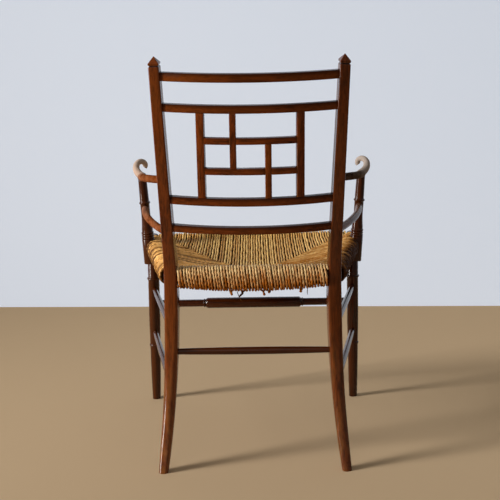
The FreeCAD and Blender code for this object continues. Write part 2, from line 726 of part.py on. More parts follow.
def rush_seat():
    rear_left, rear_right = mirrored_pair(side_rail_axis(0))
    front_left, front_right = mirrored_pair(side_rail_axis(SEAT_DEPTH))
    post_side = POST_SEAT_WIDTH / 2 + RUSH_CLEARANCE
    post_front = POST_SEAT_DEPTH / 2 + RUSH_CLEARANCE
    leg_side = FRONT_LEG_RADIUS + RUSH_CLEARANCE
    side_roll = roll(rear_right, front_right, post_front, leg_side, 0.0)
    rush = one_solid(
        rush_web(),
        roll(rear_left, rear_right, post_side, post_side, RUSH_ROLL_SAG),
        roll(front_left, front_right, leg_side, leg_side, RUSH_ROLL_SAG),
        side_roll,
        mirrored(side_roll),
    )
    cutters = []
    for start, end in ((rear_left, rear_right), (front_left, front_right), (rear_right, front_right)):
        cutters.append(box_bar(start, end, SEAT_RAIL_WIDTH + 2 * RUSH_CLEARANCE,
                               SEAT_RAIL_HEIGHT + 2 * RUSH_CLEARANCE, SEAT_RAIL_EASE))
    turn = FreeCAD.Rotation(UP, POST_TURN)
    across, along = turn.multVec(Vector(1, 0, 0)), turn.multVec(Vector(0, 1, 0))
    room_width = REAR_KNEE_WIDTH + 2 * RUSH_CLEARANCE
    room_depth = REAR_KNEE_DEPTH + 2 * RUSH_CLEARANCE
    room_base = Vector(POST_AXIS_X, 0, SEAT_HEIGHT / 2)
    post_room = rounded_section(room_base, across, along, room_width, room_depth, POST_EASE)
    cutters.append(Part.Face(post_room).extrude(UP * SEAT_HEIGHT))
    cutters.append(rod(front_leg_axis(SEAT_HEIGHT / 2), front_leg_axis(SEAT_HEIGHT * 1.5), leg_side))
    support_low, support_high = support_axis(-SUPPORT_DROP - RUSH_COVER), support_axis(SUPPORT_WAIST_RISE)
    cutters.append(rod(support_low, support_high, SUPPORT_BLOCK_RADIUS + RUSH_CLEARANCE))
    cutters += [mirrored(cutter) for cutter in cutters[2:]]
    return trimmed(rush, *cutters)


def mirrored_pair(point):
    return Vector(-point.x, point.y, point.z), point


# Seat rails
def seat_rail(start, end, lift):
    """Stock of a seat rail, its tenon and the socket that the tenon needs."""
    near, far = short_of(start, end, RAIL_END_SHY)
    stock = box_bar(near, far, SEAT_RAIL_WIDTH, SEAT_RAIL_HEIGHT, SEAT_RAIL_EASE)
    return stock, seat_tenon(start, end, lift), seat_tenon(start, end, lift, FIT)


def cross_rail(y):
    left, right = mirrored_pair(side_rail_axis(y))
    return seat_rail(left, right, SEAT_TENON_STAGGER)


def side_rail():
    return seat_rail(side_rail_axis(0), side_rail_axis(SEAT_DEPTH), -SEAT_TENON_STAGGER)


def seat_tenon(start, end, lift, grow=0.0):
    near, far = short_of(start, end, -grow)
    return box_bar(near, far, SEAT_TENON_WIDTH + 2 * grow, SEAT_TENON_HEIGHT + 2 * grow, 0.0, lift)


# Arm screws, driven outward from the inner face of the side rail
def arm_screw(grow=0.0):
    inward = Vector(-1, SIDE_SLOPE, 0).normalize()
    head_face = side_rail_axis(SUPPORT_Y) + inward * (SEAT_RAIL_WIDTH / 2)
    screw = turned([
        (0, SCREW_HEAD_RADIUS + grow),
        (SCREW_HEAD_HEIGHT, SCREW_RADIUS + grow),
        (SCREW_LENGTH + grow, SCREW_RADIUS + grow),
    ])
    return placed(screw, head_face, inward * -1)


def build():
    """All the pieces of the chair by name, in the frame that they are built in."""
    pieces = {}

    # Right-hand sticks, before their sockets are cut
    post = rear_post_stock()
    leg = front_leg_stock()
    arm = arm_stock()
    support = arm_support_stock()
    post_pair = [mirrored(post), post]

    # Back rails, scribed to the posts
    rails = {}
    post_sockets, leg_sockets = [], []
    rail_sizes = (
        ("crest", CREST_LEVEL, CREST_HEIGHT),
        ("upper", UPPER_LEVEL, UPPER_HEIGHT),
        ("lower", LOWER_LEVEL, LOWER_HEIGHT),
        ("bottom", BOTTOM_LEVEL, BOTTOM_HEIGHT),
    )
    for name, level, height in rail_sizes:
        stock = trimmed(on_back(rail_stock(level, height)), *post_pair)
        rails[name] = one_solid(stock, on_back(rail_tenon(level, height)))
        post_sockets.append(on_back(rail_tenon(level, height, FIT)))
    lattice_pieces, lattice_sockets = lattice()
    for name in ("upper", "lower"):
        rails[name] = trimmed(rails[name], *[on_back(socket) for socket in lattice_sockets])
    for name, rail in rails.items():
        pieces["back_rail_" + name] = rail
    for name, piece in lattice_pieces.items():
        pieces[name] = on_back(piece)

    # Seat rails
    stock, tenon, socket = cross_rail(0)
    pieces["seat_rail_rear"] = one_solid(trimmed(stock, *post_pair), tenon)
    post_sockets.append(socket)
    stock, tenon, socket = cross_rail(SEAT_DEPTH)
    pieces["seat_rail_front"] = one_solid(trimmed(stock, leg, mirrored(leg)), tenon)
    leg_sockets.append(socket)
    stock, tenon, socket = side_rail()
    rail = one_solid(trimmed(stock, post, leg), tenon)
    post_sockets.append(socket)
    leg_sockets.append(socket)
    rail = trimmed(rail, arm_screw(SCREW_CLEARANCE))
    pieces["seat_rail_right"] = rail

    # Arm and under-arm rail, scribed to the post and the support
    arm_start = post_axis_at_height(ARM_REAR_HEIGHT)
    arm_run = arm_curve().tangent(arm_curve().FirstParameter)[0]
    arm_shoulder = arm_start + arm_run * ARM_TENON_LENGTH
    arm_tenon = rod(arm_start, arm_shoulder, ARM_TENON_RADIUS)
    post_sockets.append(rod(arm_start - arm_run * FIT, arm_shoulder, ARM_TENON_RADIUS + FIT))
    arm_end = support_axis(support_rise(ARM_FRONT_HEIGHT))
    support_run = (support_axis(1) - support_axis(0)).normalize()
    tenon_base = arm_end - support_run * (SUPPORT_TENON_LENGTH + ARM_DEPTH)
    tenon_top = arm_end + support_run * (SUPPORT_TENON_LENGTH - ARM_DEPTH / 2)
    support_tenon = rod(tenon_base, tenon_top, SUPPORT_TENON_RADIUS)
    arm_socket = rod(tenon_base, tenon_top + support_run * FIT, SUPPORT_TENON_RADIUS + FIT)
    support_body = one_solid(trimmed(support, arm), support_tenon)
    arm_body = one_solid(trimmed(arm, post), arm_tenon)
    rail_room = box_bar(side_rail_axis(0), side_rail_axis(SEAT_DEPTH), SEAT_RAIL_WIDTH + 2 * FIT,
                        SEAT_RAIL_HEIGHT + 2 * FIT, SEAT_RAIL_EASE)
    screw_hole = arm_screw(SCREW_CLEARANCE)
    under_socket = under_rail(UNDER_TENON_RADIUS, UNDER_TENON_SHY, FIT)
    rail = trimmed(under_rail(UNDER_RAIL_RADIUS, 2 * UNDER_TENON_SHY), post, support)
    pieces["under_arm_rail_right"] = one_solid(rail, under_rail(UNDER_TENON_RADIUS, UNDER_TENON_SHY))
    post_sockets.append(under_socket)
    pieces["arm_right"] = trimmed(arm_body, arm_socket)
    pieces["arm_support_right"] = trimmed(support_body, rail_room, screw_hole, under_socket)
    pieces["arm_screw_right"] = arm_screw()

    # Stretchers
    def tenon_rod(start, end, grow=0.0):
        near, far = short_of(start, end, STRETCHER_TENON_SHY - grow)
        return rod(near, far, STRETCHER_TENON_RADIUS + grow)

    start, end = mirrored_pair(front_leg_axis(FRONT_STRETCHER_HEIGHT))
    ring_start = FRONT_SWELL_HALF + FRONT_SWELL_TAPER
    stock = stretcher(start, end, [
        (FRONT_SWELL_HALF, FRONT_SWELL_RADIUS),
        (ring_start, FRONT_STRETCHER_RADIUS),
        (ring_start + FRONT_RING_LENGTH, FRONT_STRETCHER_RADIUS, FRONT_RING_BULGE),
        (end.x - STRETCHER_STOCK_SHY, FRONT_STRETCHER_RADIUS),
    ])
    pieces["front_stretcher"] = one_solid(trimmed(stock, leg, mirrored(leg)), tenon_rod(start, end))
    leg_sockets.append(tenon_rod(start, end, FIT))

    start, end = mirrored_pair(rear_leg_axis(REAR_STRETCHER_HEIGHT))
    stock = swelled_stretcher(start, end, REAR_STRETCHER_RADIUS, REAR_SWELL_RADIUS)
    pieces["rear_stretcher"] = one_solid(trimmed(stock, *post_pair), tenon_rod(start, end))
    post_sockets.append(tenon_rod(start, end, FIT))

    for name, height in (("upper", SIDE_UPPER_HEIGHT), ("lower", SIDE_LOWER_HEIGHT)):
        start, end = rear_leg_axis(height), front_leg_axis(height)
        stock = swelled_stretcher(start, end, SIDE_STRETCHER_RADIUS, SIDE_SWELL_RADIUS)
        body = one_solid(trimmed(stock, post, leg), tenon_rod(start, end))
        pieces["side_stretcher_" + name + "_right"] = body
        post_sockets.append(tenon_rod(start, end, FIT))
        leg_sockets.append(tenon_rod(start, end, FIT))

    pieces["rear_post_right"] = trimmed(post, *post_sockets)
    pieces["front_leg_right"] = trimmed(leg, *leg_sockets)
    for name in [name for name in pieces if name.endswith("_right") and not name.startswith("lattice")]:
        pieces[name[:-len("right")] + "left"] = mirrored(pieces[name])
    pieces["rush_seat"] = rush_seat()
    return pieces


def main():
    os.makedirs("parts", exist_ok=True)
    pieces = build()
    box = FreeCAD.BoundBox()
    for shape in pieces.values():
        box.add(shape.optimalBoundingBox())
    to_origin = Vector(-box.Center.x, -box.Center.y, -box.ZMin)
    for name in sorted(pieces):
        shape = pieces[name].copy()
        shape.translate(to_origin)
        shape.exportStep(os.path.join("parts", name + ".step"))
        print("%-28s valid %s volume %.0f" % (name, shape.isValid(), shape.Volume))
    print("overall %.1f x %.1f x %.1f, moved by %.2f %.2f %.2f"
          % (box.XLength, box.YLength, box.ZLength, to_origin.x, to_origin.y, to_origin.z))


main()
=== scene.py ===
"""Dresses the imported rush-seated elbow chair in waxed wood and twisted rush, in a pale room."""
import logging
import math
import random
from dataclasses import dataclass, field
from enum import Enum

import bmesh
import bpy
from mathutils import Matrix, Vector
from mathutils.bvhtree import BVHTree


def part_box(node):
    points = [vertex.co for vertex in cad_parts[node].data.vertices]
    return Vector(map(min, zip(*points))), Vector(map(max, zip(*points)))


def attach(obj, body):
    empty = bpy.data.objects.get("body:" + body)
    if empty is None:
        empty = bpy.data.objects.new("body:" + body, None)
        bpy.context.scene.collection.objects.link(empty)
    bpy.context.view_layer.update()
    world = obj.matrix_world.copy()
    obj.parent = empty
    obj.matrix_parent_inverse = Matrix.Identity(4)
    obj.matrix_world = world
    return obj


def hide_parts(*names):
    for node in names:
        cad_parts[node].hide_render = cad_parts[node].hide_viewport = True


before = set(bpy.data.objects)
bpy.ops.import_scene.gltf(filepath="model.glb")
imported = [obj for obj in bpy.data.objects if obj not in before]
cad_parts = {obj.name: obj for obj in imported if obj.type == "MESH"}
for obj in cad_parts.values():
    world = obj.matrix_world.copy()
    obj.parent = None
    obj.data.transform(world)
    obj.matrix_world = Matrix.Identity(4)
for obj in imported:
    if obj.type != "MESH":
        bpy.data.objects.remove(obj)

LOG = logging.getLogger("elbow_chair")
Colour = tuple[float, float, float]
Point = tuple[float, float, float]
Samples = list[tuple[Vector | None, float]]
Tree = bpy.types.NodeTree
Socket = bpy.types.NodeSocket
UP = Vector((0, 0, 1))
BODY = "root"
MERGE_DISTANCE = 1e-6
EDGE_MASK = "edge_wear"
HAND_MASK = "hand_wear"
# How much darker the wood is: towards the top of some sticks, and painted shade in the groove under a post's
# tip.
DARKENING_MASK = "soot"
STRAND_TONE = "strand_tone"
# A mix node has sockets for every kind of value: these are its share and its colours.
MIX_INPUTS = (0, 6, 7)
MIX_RESULT = 2


class Grain(Enum):
    """The way the grain of a stick runs, as the stretch of the grain pattern along X, Y and Z."""

    UPRIGHT = (1.0, 1.0, 0.07)
    CROSSWISE = (0.07, 1.0, 1.0)
    LENGTHWISE = (1.0, 0.07, 1.0)


class StrandWay(Enum):
    """The way strands of rush run, as the stretch of their mottle along X, Y and Z."""

    ANY = (1.0, 1.0, 1.0)
    CROSSWISE = (0.2, 1.0, 0.4)
    LENGTHWISE = (1.0, 0.2, 0.4)


def new_material(name: str) -> tuple[bpy.types.Material, bpy.types.ShaderNode]:
    """Makes an empty node material.

    Args:
        name: the material's name.

    Returns:
        The material and its Principled BSDF node.
    """
    material = bpy.data.materials.new(name)
    material.use_nodes = True
    return material, material.node_tree.nodes["Principled BSDF"]


def feed(tree: Tree, socket: Socket, given: object) -> None:
    """Links an input socket, or sets it to a plain value.

    Args:
        tree: the node tree.
        socket: the input socket.
        given: the output socket that feeds it, or a number, vector or colour.
    """
    if isinstance(given, bpy.types.NodeSocket):
        tree.links.new(given, socket)
    else:
        socket.default_value = given


def fill(tree: Tree, node: bpy.types.Node, **values: object) -> None:
    """Links or sets input sockets of a node, named with underscores for spaces."""
    for name, given in values.items():
        feed(tree, node.inputs[name.replace("_", " ")], given)


def add_node(tree: Tree, kind: str, **values: object) -> bpy.types.Node:
    """Adds a node.

    Args:
        tree: the node tree that gets the node.
        kind: the node's type name.
        **values: input socket names, with underscores for spaces, and what each is given.

    Returns:
        The new node.
    """
    node = tree.nodes.new(kind)
    fill(tree, node, **values)
    return node


def add_mask(tree: Tree, name: str) -> Socket:
    """Reads a mask that is stored in the mesh.

    Args:
        tree: the node tree that gets the node.
        name: the mask's name.

    Returns:
        The mask's level.
    """
    node = tree.nodes.new("ShaderNodeAttribute")
    node.attribute_name = name
    return node.outputs["Fac"]


def add_colour_ramp(tree: Tree, level: Socket, *stops: tuple[float, Colour]) -> Socket:
    """Turns a level into a colour.

    Args:
        tree: the node tree that gets the ramp.
        level: the level.
        *stops: (level, colour) pairs in order.

    Returns:
        The colour.
    """
    ramp = add_node(tree, "ShaderNodeValToRGB", Fac=level)
    elements = ramp.color_ramp.elements
    while len(elements) < len(stops):
        elements.new(1.0)
    for element, (position, colour) in zip(elements, stops):
        element.position = position
        element.color = (*colour, 1.0)
    return ramp.outputs[0]


def add_mix(tree: Tree, share: Socket, first: Socket, second: Socket) -> Socket:
    """Mixes two colours.

    Args:
        tree: the node tree that gets the node.
        share: how much of the second colour shows.
        first: the first colour.
        second: the second colour.

    Returns:
        The mixed colour.
    """
    node = tree.nodes.new("ShaderNodeMix")
    node.data_type = "RGBA"
    for index, given in zip(MIX_INPUTS, (share, first, second)):
        feed(tree, node.inputs[index], given)
    return node.outputs[MIX_RESULT]


def add_math(tree: Tree, operation: str, *terms: Socket | float, clamp: bool = False) -> Socket:
    """Works out one value from others.

    Args:
        tree: the node tree that gets the node.
        operation: the name of the operation.
        *terms: its terms in order.
        clamp: whether the value is kept between 0 and 1.

    Returns:
        The value.
    """
    node = tree.nodes.new("ShaderNodeMath")
    node.operation = operation
    node.use_clamp = clamp
    for socket, term in zip(node.inputs, terms):
        feed(tree, socket, term)
    return node.outputs[0]


def add_range(tree: Tree, value: Socket, **limits: float) -> Socket:
    """Brings a value from one range to another, each from 0 to 1 unless limits such as From_Min are given."""
    return add_node(tree, "ShaderNodeMapRange", Value=value, **limits).outputs[0]


@dataclass(frozen=True)
class Pattern:
    """A soft pattern of light and dark.

    Attributes:
        scale: how fine it is.
        detail: how many finer patterns it carries.
        roughness: how strong those are.
        black: the level that turns black.
        white: the level that turns white.
        distortion: how far it is stirred.
    """

    scale: float
    detail: float
    roughness: float
    black: float
    white: float
    distortion: float = 0.0

    def add(self, tree: Tree, place: Socket) -> Socket:
        """Adds the pattern.

        Args:
            tree: the node tree that gets it.
            place: the coordinates that it lies on.

        Returns:
            Its grey.
        """
        noise = add_node(tree, "ShaderNodeTexNoise", Vector=place, Scale=self.scale, Detail=self.detail,
                         Roughness=self.roughness, Distortion=self.distortion)
        ends = (self.black, (0.0, 0.0, 0.0)), (self.white, (1.0, 1.0, 1.0))
        return add_colour_ramp(tree, noise.outputs[0], *ends)


@dataclass(frozen=True)
class WaxedGrain:
    """The shared shader group for the grain, waxed tone, darkening towards the top, painted shade in the
    grooves and handling wear of the chair's wood, with a painted highlight on bared wood.

    Attributes:
        name: the group's name.
        streaks: the streaks of the grain.
        pores: the pores.
        clouds: where the wax is thick and thin.
        scuffs: the patches in which wear shows.
        thinning: how far the colour turns where the wax is thin.
        pore_shade: how far the pores darken the wood.
        least_scuff: the share of hand wear that shows between the patches.
        polish_full: the hand wear at which the stain has rubbed thin.
        bare_highlight_start: the hand wear at which the stain starts to rub off and the painted highlight of
            the bared wood begins.
        bare_highlight_full: the hand wear at which the stain is gone and that painted highlight is full.
        gloss: the roughness under thick and under thin wax.
        dulling: how much hand wear adds to it.
    """

    name: str = "waxed_grain"
    streaks: Pattern = Pattern(190.0, 5.0, 0.62, 0.36, 0.58, 0.6)
    pores: Pattern = Pattern(420.0, 3.0, 0.7, 0.36, 0.5)
    clouds: Pattern = Pattern(16.0, 3.0, 0.55, 0.38, 0.68)
    scuffs: Pattern = Pattern(60.0, 6.0, 0.7, 0.42, 0.62)
    thinning: float = 0.7
    pore_shade: float = 0.35
    least_scuff: float = 0.1
    polish_full: float = 0.5
    bare_highlight_start: float = 0.3
    bare_highlight_full: float = 0.95
    gloss: tuple[float, float] = (0.10, 0.19)
    dulling: float = 0.35

    def tree(self) -> Tree:
        """Returns the group, which is built on its first use."""
        return bpy.data.node_groups.get(self.name) or self._build()

    def _sockets(self, tree: Tree) -> None:
        """Adds the group's named inputs and outputs.

        Args:
            tree: the group.
        """
        tree.interface.new_socket(name="Place", in_out="INPUT", socket_type="NodeSocketVector")
        for mask in ("Edge", "Hand", "Soot"):
            tree.interface.new_socket(name=mask, in_out="INPUT", socket_type="NodeSocketFloat")
        for colour in ("Dark", "Ground", "Light", "Worn", "Bare"):
            tree.interface.new_socket(name=colour, in_out="INPUT", socket_type="NodeSocketColor")
        tree.interface.new_socket(name="Colour", in_out="OUTPUT", socket_type="NodeSocketColor")
        for value in ("Roughness", "Height"):
            tree.interface.new_socket(name=value, in_out="OUTPUT", socket_type="NodeSocketFloat")

    def _build(self) -> Tree:
        """Builds the group.

        Returns:
            The new node tree.
        """
        tree = bpy.data.node_groups.new(self.name, "ShaderNodeTree")
        self._sockets(tree)
        given = tree.nodes.new("NodeGroupInput").outputs
        sink = tree.nodes.new("NodeGroupOutput")
        patterns = (self.streaks, self.pores, self.clouds, self.scuffs)
        streaks, pores, clouds, scuffs = (pattern.add(tree, given["Place"]) for pattern in patterns)

        grain = add_mix(tree, streaks, given["Dark"], given["Ground"])
        waxed = add_mix(tree, add_math(tree, "MULTIPLY", clouds, self.thinning), grain, given["Light"])
        pore_shade = add_range(tree, pores, To_Min=self.pore_shade, To_Max=0.0)
        pored = add_mix(tree, pore_shade, waxed, given["Dark"])
        # Darker towards the top of the listed sticks, and painted shade in the groove under a post's tip.
        with_darkening = add_mix(tree, given["Soot"], pored, given["Dark"])

        rubbed = add_math(tree, "MULTIPLY", given["Edge"], scuffs)
        patchy = add_range(tree, scuffs, To_Min=self.least_scuff)
        polished = add_range(tree, given["Hand"], From_Max=self.polish_full)
        handled = add_math(tree, "MULTIPLY", polished, patchy)
        worn = add_mix(tree, add_math(tree, "MAXIMUM", rubbed, handled), with_darkening, given["Worn"])
        # The arms' bared ends: real hand wear, paled further by a painted highlight.
        bared_and_highlit = add_range(tree, given["Hand"], From_Min=self.bare_highlight_start, From_Max=self.bare_highlight_full)
        bare = add_mix(tree, bared_and_highlit, worn, given["Bare"])

        thick_gloss, thin_gloss = self.gloss
        gloss = add_range(tree, clouds, To_Min=thick_gloss, To_Max=thin_gloss)
        roughness = add_math(tree, "MULTIPLY_ADD", given["Hand"], self.dulling, gloss)
        fill(tree, sink, Colour=bare, Roughness=roughness, Height=pores)
        return tree


@dataclass(frozen=True)
class WoodFinish:
    """Waxed, polished hardwood with rubbed edges.

    Attributes:
        name: the finish's name.
        paleness: how pale the wood is made, against the left post; the darker copies are painted shade on
            sticks that get less light.
        dark: the colour of the pores, and of the darkening towards the top and in the grooves.
        ground: the colour between the streaks.
        light: the colour where the wax has thinned.
        worn: the colour where the stain has rubbed thin.
        bare: the colour where hands have rubbed it off, paled further as a painted highlight.
        specular: the level of its reflections.
        coat: the weight of the wax.
        coat_roughness: the roughness of the wax.
        darkening: how far the upper sides are darkened towards the top.
        darkening_start: how high up a stick the darkening starts.
        darkening_full: how high up it is full.
        pore_depth: depth of the pores, in metres.
        pore_strength: how clearly they show.
    """

    name: str
    paleness: float = 1.0
    dark: Colour = (0.020, 0.0040, 0.0008)
    ground: Colour = (0.128, 0.024, 0.0036)
    light: Colour = (0.205, 0.049, 0.0070)
    worn: Colour = (0.360, 0.140, 0.032)
    bare: Colour = (0.560, 0.455, 0.375)
    specular: float = 0.26
    coat: float = 0.1
    coat_roughness: float = 0.12
    soot: float = 0.85
    darkening_start: float = 0.5
    darkening_full: float = 0.97
    pore_depth: float = 0.00012
    pore_strength: float = 0.35

    def material(self, grain: Grain) -> bpy.types.Material:
        """Returns the material for one way of the grain, built on its first use."""
        name = f"{self.name}_{grain.name.lower()}"
        return bpy.data.materials.get(name) or self._build(name, grain)

    def _build(self, name: str, grain: Grain) -> bpy.types.Material:
        """Builds the material.

        Args:
            name: the material's name.
            grain: the way the grain runs.

        Returns:
            The new material.
        """
        material, shader = new_material(name)
        tree = material.node_tree
        place = tree.nodes.new("ShaderNodeTexCoord").outputs["Object"]
        mapping = add_node(tree, "ShaderNodeMapping", Vector=place, Scale=grain.value)
        soot = add_range(tree, add_mask(tree, DARKENING_MASK), From_Min=self.darkening_start, From_Max=self.darkening_full,
                         To_Max=self.soot)
        group = tree.nodes.new("ShaderNodeGroup")
        group.node_tree = WaxedGrain().tree()
        fill(tree, group, Place=mapping.outputs["Vector"], Edge=add_mask(tree, EDGE_MASK),
             Hand=add_mask(tree, HAND_MASK), Soot=soot)
        stains = {"Dark": self.dark, "Ground": self.ground, "Light": self.light, "Worn": self.worn,
                  "Bare": self.bare}
        for socket, colour in stains.items():
            group.inputs[socket].default_value = (*(part * self.paleness for part in colour), 1.0)
        bump = add_node(tree, "ShaderNodeBump", Strength=self.pore_strength, Distance=self.pore_depth,
                        Height=group.outputs["Height"])
        fill(tree, shader, Base_Color=group.outputs["Colour"], Roughness=group.outputs["Roughness"],
             Normal=bump.outputs["Normal"], Specular_IOR_Level=self.specular, Coat_Weight=self.coat,
             Coat_Roughness=self.coat_roughness)
        return material


MELLOW_WOOD = WoodFinish("mellow_wood")
RAIL_WOOD = WoodFinish("rail_wood", specular=0.14, coat=0.03)
LATTICE_WOOD = WoodFinish("lattice_wood", paleness=1.15, specular=0.14, coat=0.03, soot=0.5)
# A darker copy of the left post's wood: painted shade on the right post, away from the light.
SHADED_POST_WOOD = WoodFinish("shaded_post_wood", paleness=0.74)
# A much darker copy: painted shade on the arm supports, front legs, stretchers and seat frame.
DEEP_SHADE_WOOD = WoodFinish("deep_shade_wood", paleness=0.38)
DULLED_WOOD = WoodFinish("dulled_wood", worn=(0.370, 0.150, 0.065), specular=0.0, coat=0.0)
# A darker copy with a slight sheen of its own: painted shade on the right under-arm rail.
SHADED_RUBBED_WOOD = WoodFinish("shaded_rubbed_wood", paleness=0.5, worn=(0.370, 0.150, 0.065), specular=0.04, coat=0.0)
# Grey wood with no reflection of its own: dark near the post as painted shade, greying towards the curl as a
# painted sheen.
SHEEN_AND_SHADE_WOOD = WoodFinish("sheen_and_shade_wood", paleness=0.75, ground=(0.080, 0.042, 0.026),
                         light=(0.130, 0.075, 0.048), worn=(0.260, 0.200, 0.165),
                         bare=(0.560, 0.475, 0.415), specular=0.0, coat=0.0)


@dataclass(frozen=True)
class RushFinish:
    """Dry twisted rush, from dark brown through amber to straw, strand by strand.

    Attributes:
        name: the finish's name.
        way: the way its strands run.
        shade: the colour of its darkest tone.
        amber: the colour of its middle tone.
        straw: the colour of its palest tone.
        amber_tone: the tone that is amber, with shade at 0 and straw at 1.
        mottle: the pale and dark patches along the strands.
        mottle_share: how far the patches change the tone.
        fibre_scale: how fine the fibres are.
        fibre_depth: depth of the furrows between them, in metres.
        fibre_strength: how clearly they show.
        roughness: the roughness of its surface.
        specular: the level of its reflections.
    """

    name: str
    way: StrandWay = StrandWay.ANY
    shade: Colour = (0.060, 0.019, 0.003)
    amber: Colour = (0.430, 0.175, 0.030)
    straw: Colour = (0.860, 0.560, 0.210)
    amber_tone: float = 0.4
    mottle: Pattern = Pattern(230.0, 5.0, 0.65, 0.3, 0.7)
    mottle_share: float = 0.5
    fibre_scale: float = 1100.0
    fibre_depth: float = 0.0004
    fibre_strength: float = 0.5
    roughness: float = 0.45
    specular: float = 0.08

    def material(self) -> bpy.types.Material:
        """Returns the material, built on its first use."""
        return bpy.data.materials.get(self.name) or self._build()

    def _build(self) -> bpy.types.Material:
        """Builds the material.

        Returns:
            The new material.
        """
        material, shader = new_material(self.name)
        tree = material.node_tree
        place = tree.nodes.new("ShaderNodeTexCoord").outputs["Object"]
        stretched = add_node(tree, "ShaderNodeMapping", Vector=place, Scale=self.way.value).outputs["Vector"]
        mottle = self.mottle.add(tree, stretched)
        laid = add_mask(tree, STRAND_TONE)
        tone = add_math(tree, "MULTIPLY_ADD", mottle, self.mottle_share, laid, clamp=True)
        tones = (0.0, self.shade), (self.amber_tone, self.amber), (1.0, self.straw)
        fibre = add_node(tree, "ShaderNodeTexNoise", Vector=stretched, Scale=self.fibre_scale)
        bump = add_node(tree, "ShaderNodeBump", Strength=self.fibre_strength, Distance=self.fibre_depth,
                        Height=fibre.outputs[0])
        fill(tree, shader, Base_Color=add_colour_ramp(tree, tone, *tones), Normal=bump.outputs["Normal"],
             Roughness=self.roughness, Specular_IOR_Level=self.specular)
        return material


# Copies of one rush for the rear and the front panel, with hues set against the light that falls on each:
# painted light.
REAR_LIGHT_RUSH = RushFinish("rear_light_rush", StrandWay.LENGTHWISE, shade=(0.050, 0.014, 0.001),
                        amber=(0.400, 0.118, 0.010), straw=(0.760, 0.530, 0.250))
FRONT_LIGHT_RUSH = RushFinish("front_light_rush", StrandWay.LENGTHWISE, amber=(0.450, 0.185, 0.034),
                       straw=(0.900, 0.600, 0.220))
SIDE_RUSH = RushFinish("side_rush", StrandWay.CROSSWISE)
# A paler, less orange copy for the lit left panel: painted window light and sheen.
LIT_SHEEN_RUSH = RushFinish("lit_sheen_rush", StrandWay.CROSSWISE, amber=(0.335, 0.155, 0.038),
                           straw=(0.980, 0.560, 0.180))
# The inner bundle, near black: painted shade in the gaps between the strands.
SHADED_RUSH = RushFinish("shaded_rush", shade=(0.012, 0.005, 0.001), amber=(0.030, 0.012, 0.003),
                         straw=(0.040, 0.018, 0.005), specular=0.0)


@dataclass(frozen=True)
class SteelFinish:
    """Dull steel of the hidden screws.

    Attributes:
        name: the finish's name.
        colour: the colour of the steel.
        tarnish: the pattern of its dull spots.
        roughness: the roughness of its bright and of its dull spots.
    """

    name: str = "dull_steel"
    colour: Colour = (0.30, 0.29, 0.28)
    tarnish: Pattern = Pattern(700.0, 4.0, 0.5, 0.3, 0.7)
    roughness: tuple[float, float] = (0.32, 0.55)

    def material(self) -> bpy.types.Material:
        """Returns the material, built on its first use."""
        return bpy.data.materials.get(self.name) or self._build()

    def _build(self) -> bpy.types.Material:
        """Builds the material.

        Returns:
            The new material.
        """
        material, shader = new_material(self.name)
        tree = material.node_tree
        place = tree.nodes.new("ShaderNodeTexCoord").outputs["Object"]
        bright, dull = self.roughness
        roughness = add_range(tree, self.tarnish.add(tree, place), To_Min=bright, To_Max=dull)
        fill(tree, shader, Base_Color=(*self.colour, 1.0), Metallic=1.0, Roughness=roughness)
        return material


def finished_object(name: str, mesh: bpy.types.Mesh, material: bpy.types.Material) -> bpy.types.Object:
    """Links a mesh as a piece that rides on the chair.

    Args:
        name: the piece's name.
        mesh: its mesh, with its place in the vertices.
        material: its material.

    Returns:
        The new object.
    """
    mesh.materials.append(material)
    piece = bpy.data.objects.new(name, mesh)
    bpy.context.scene.collection.objects.link(piece)
    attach(piece, BODY)
    LOG.info("piece %s: %d faces", name, len(mesh.polygons))
    return piece


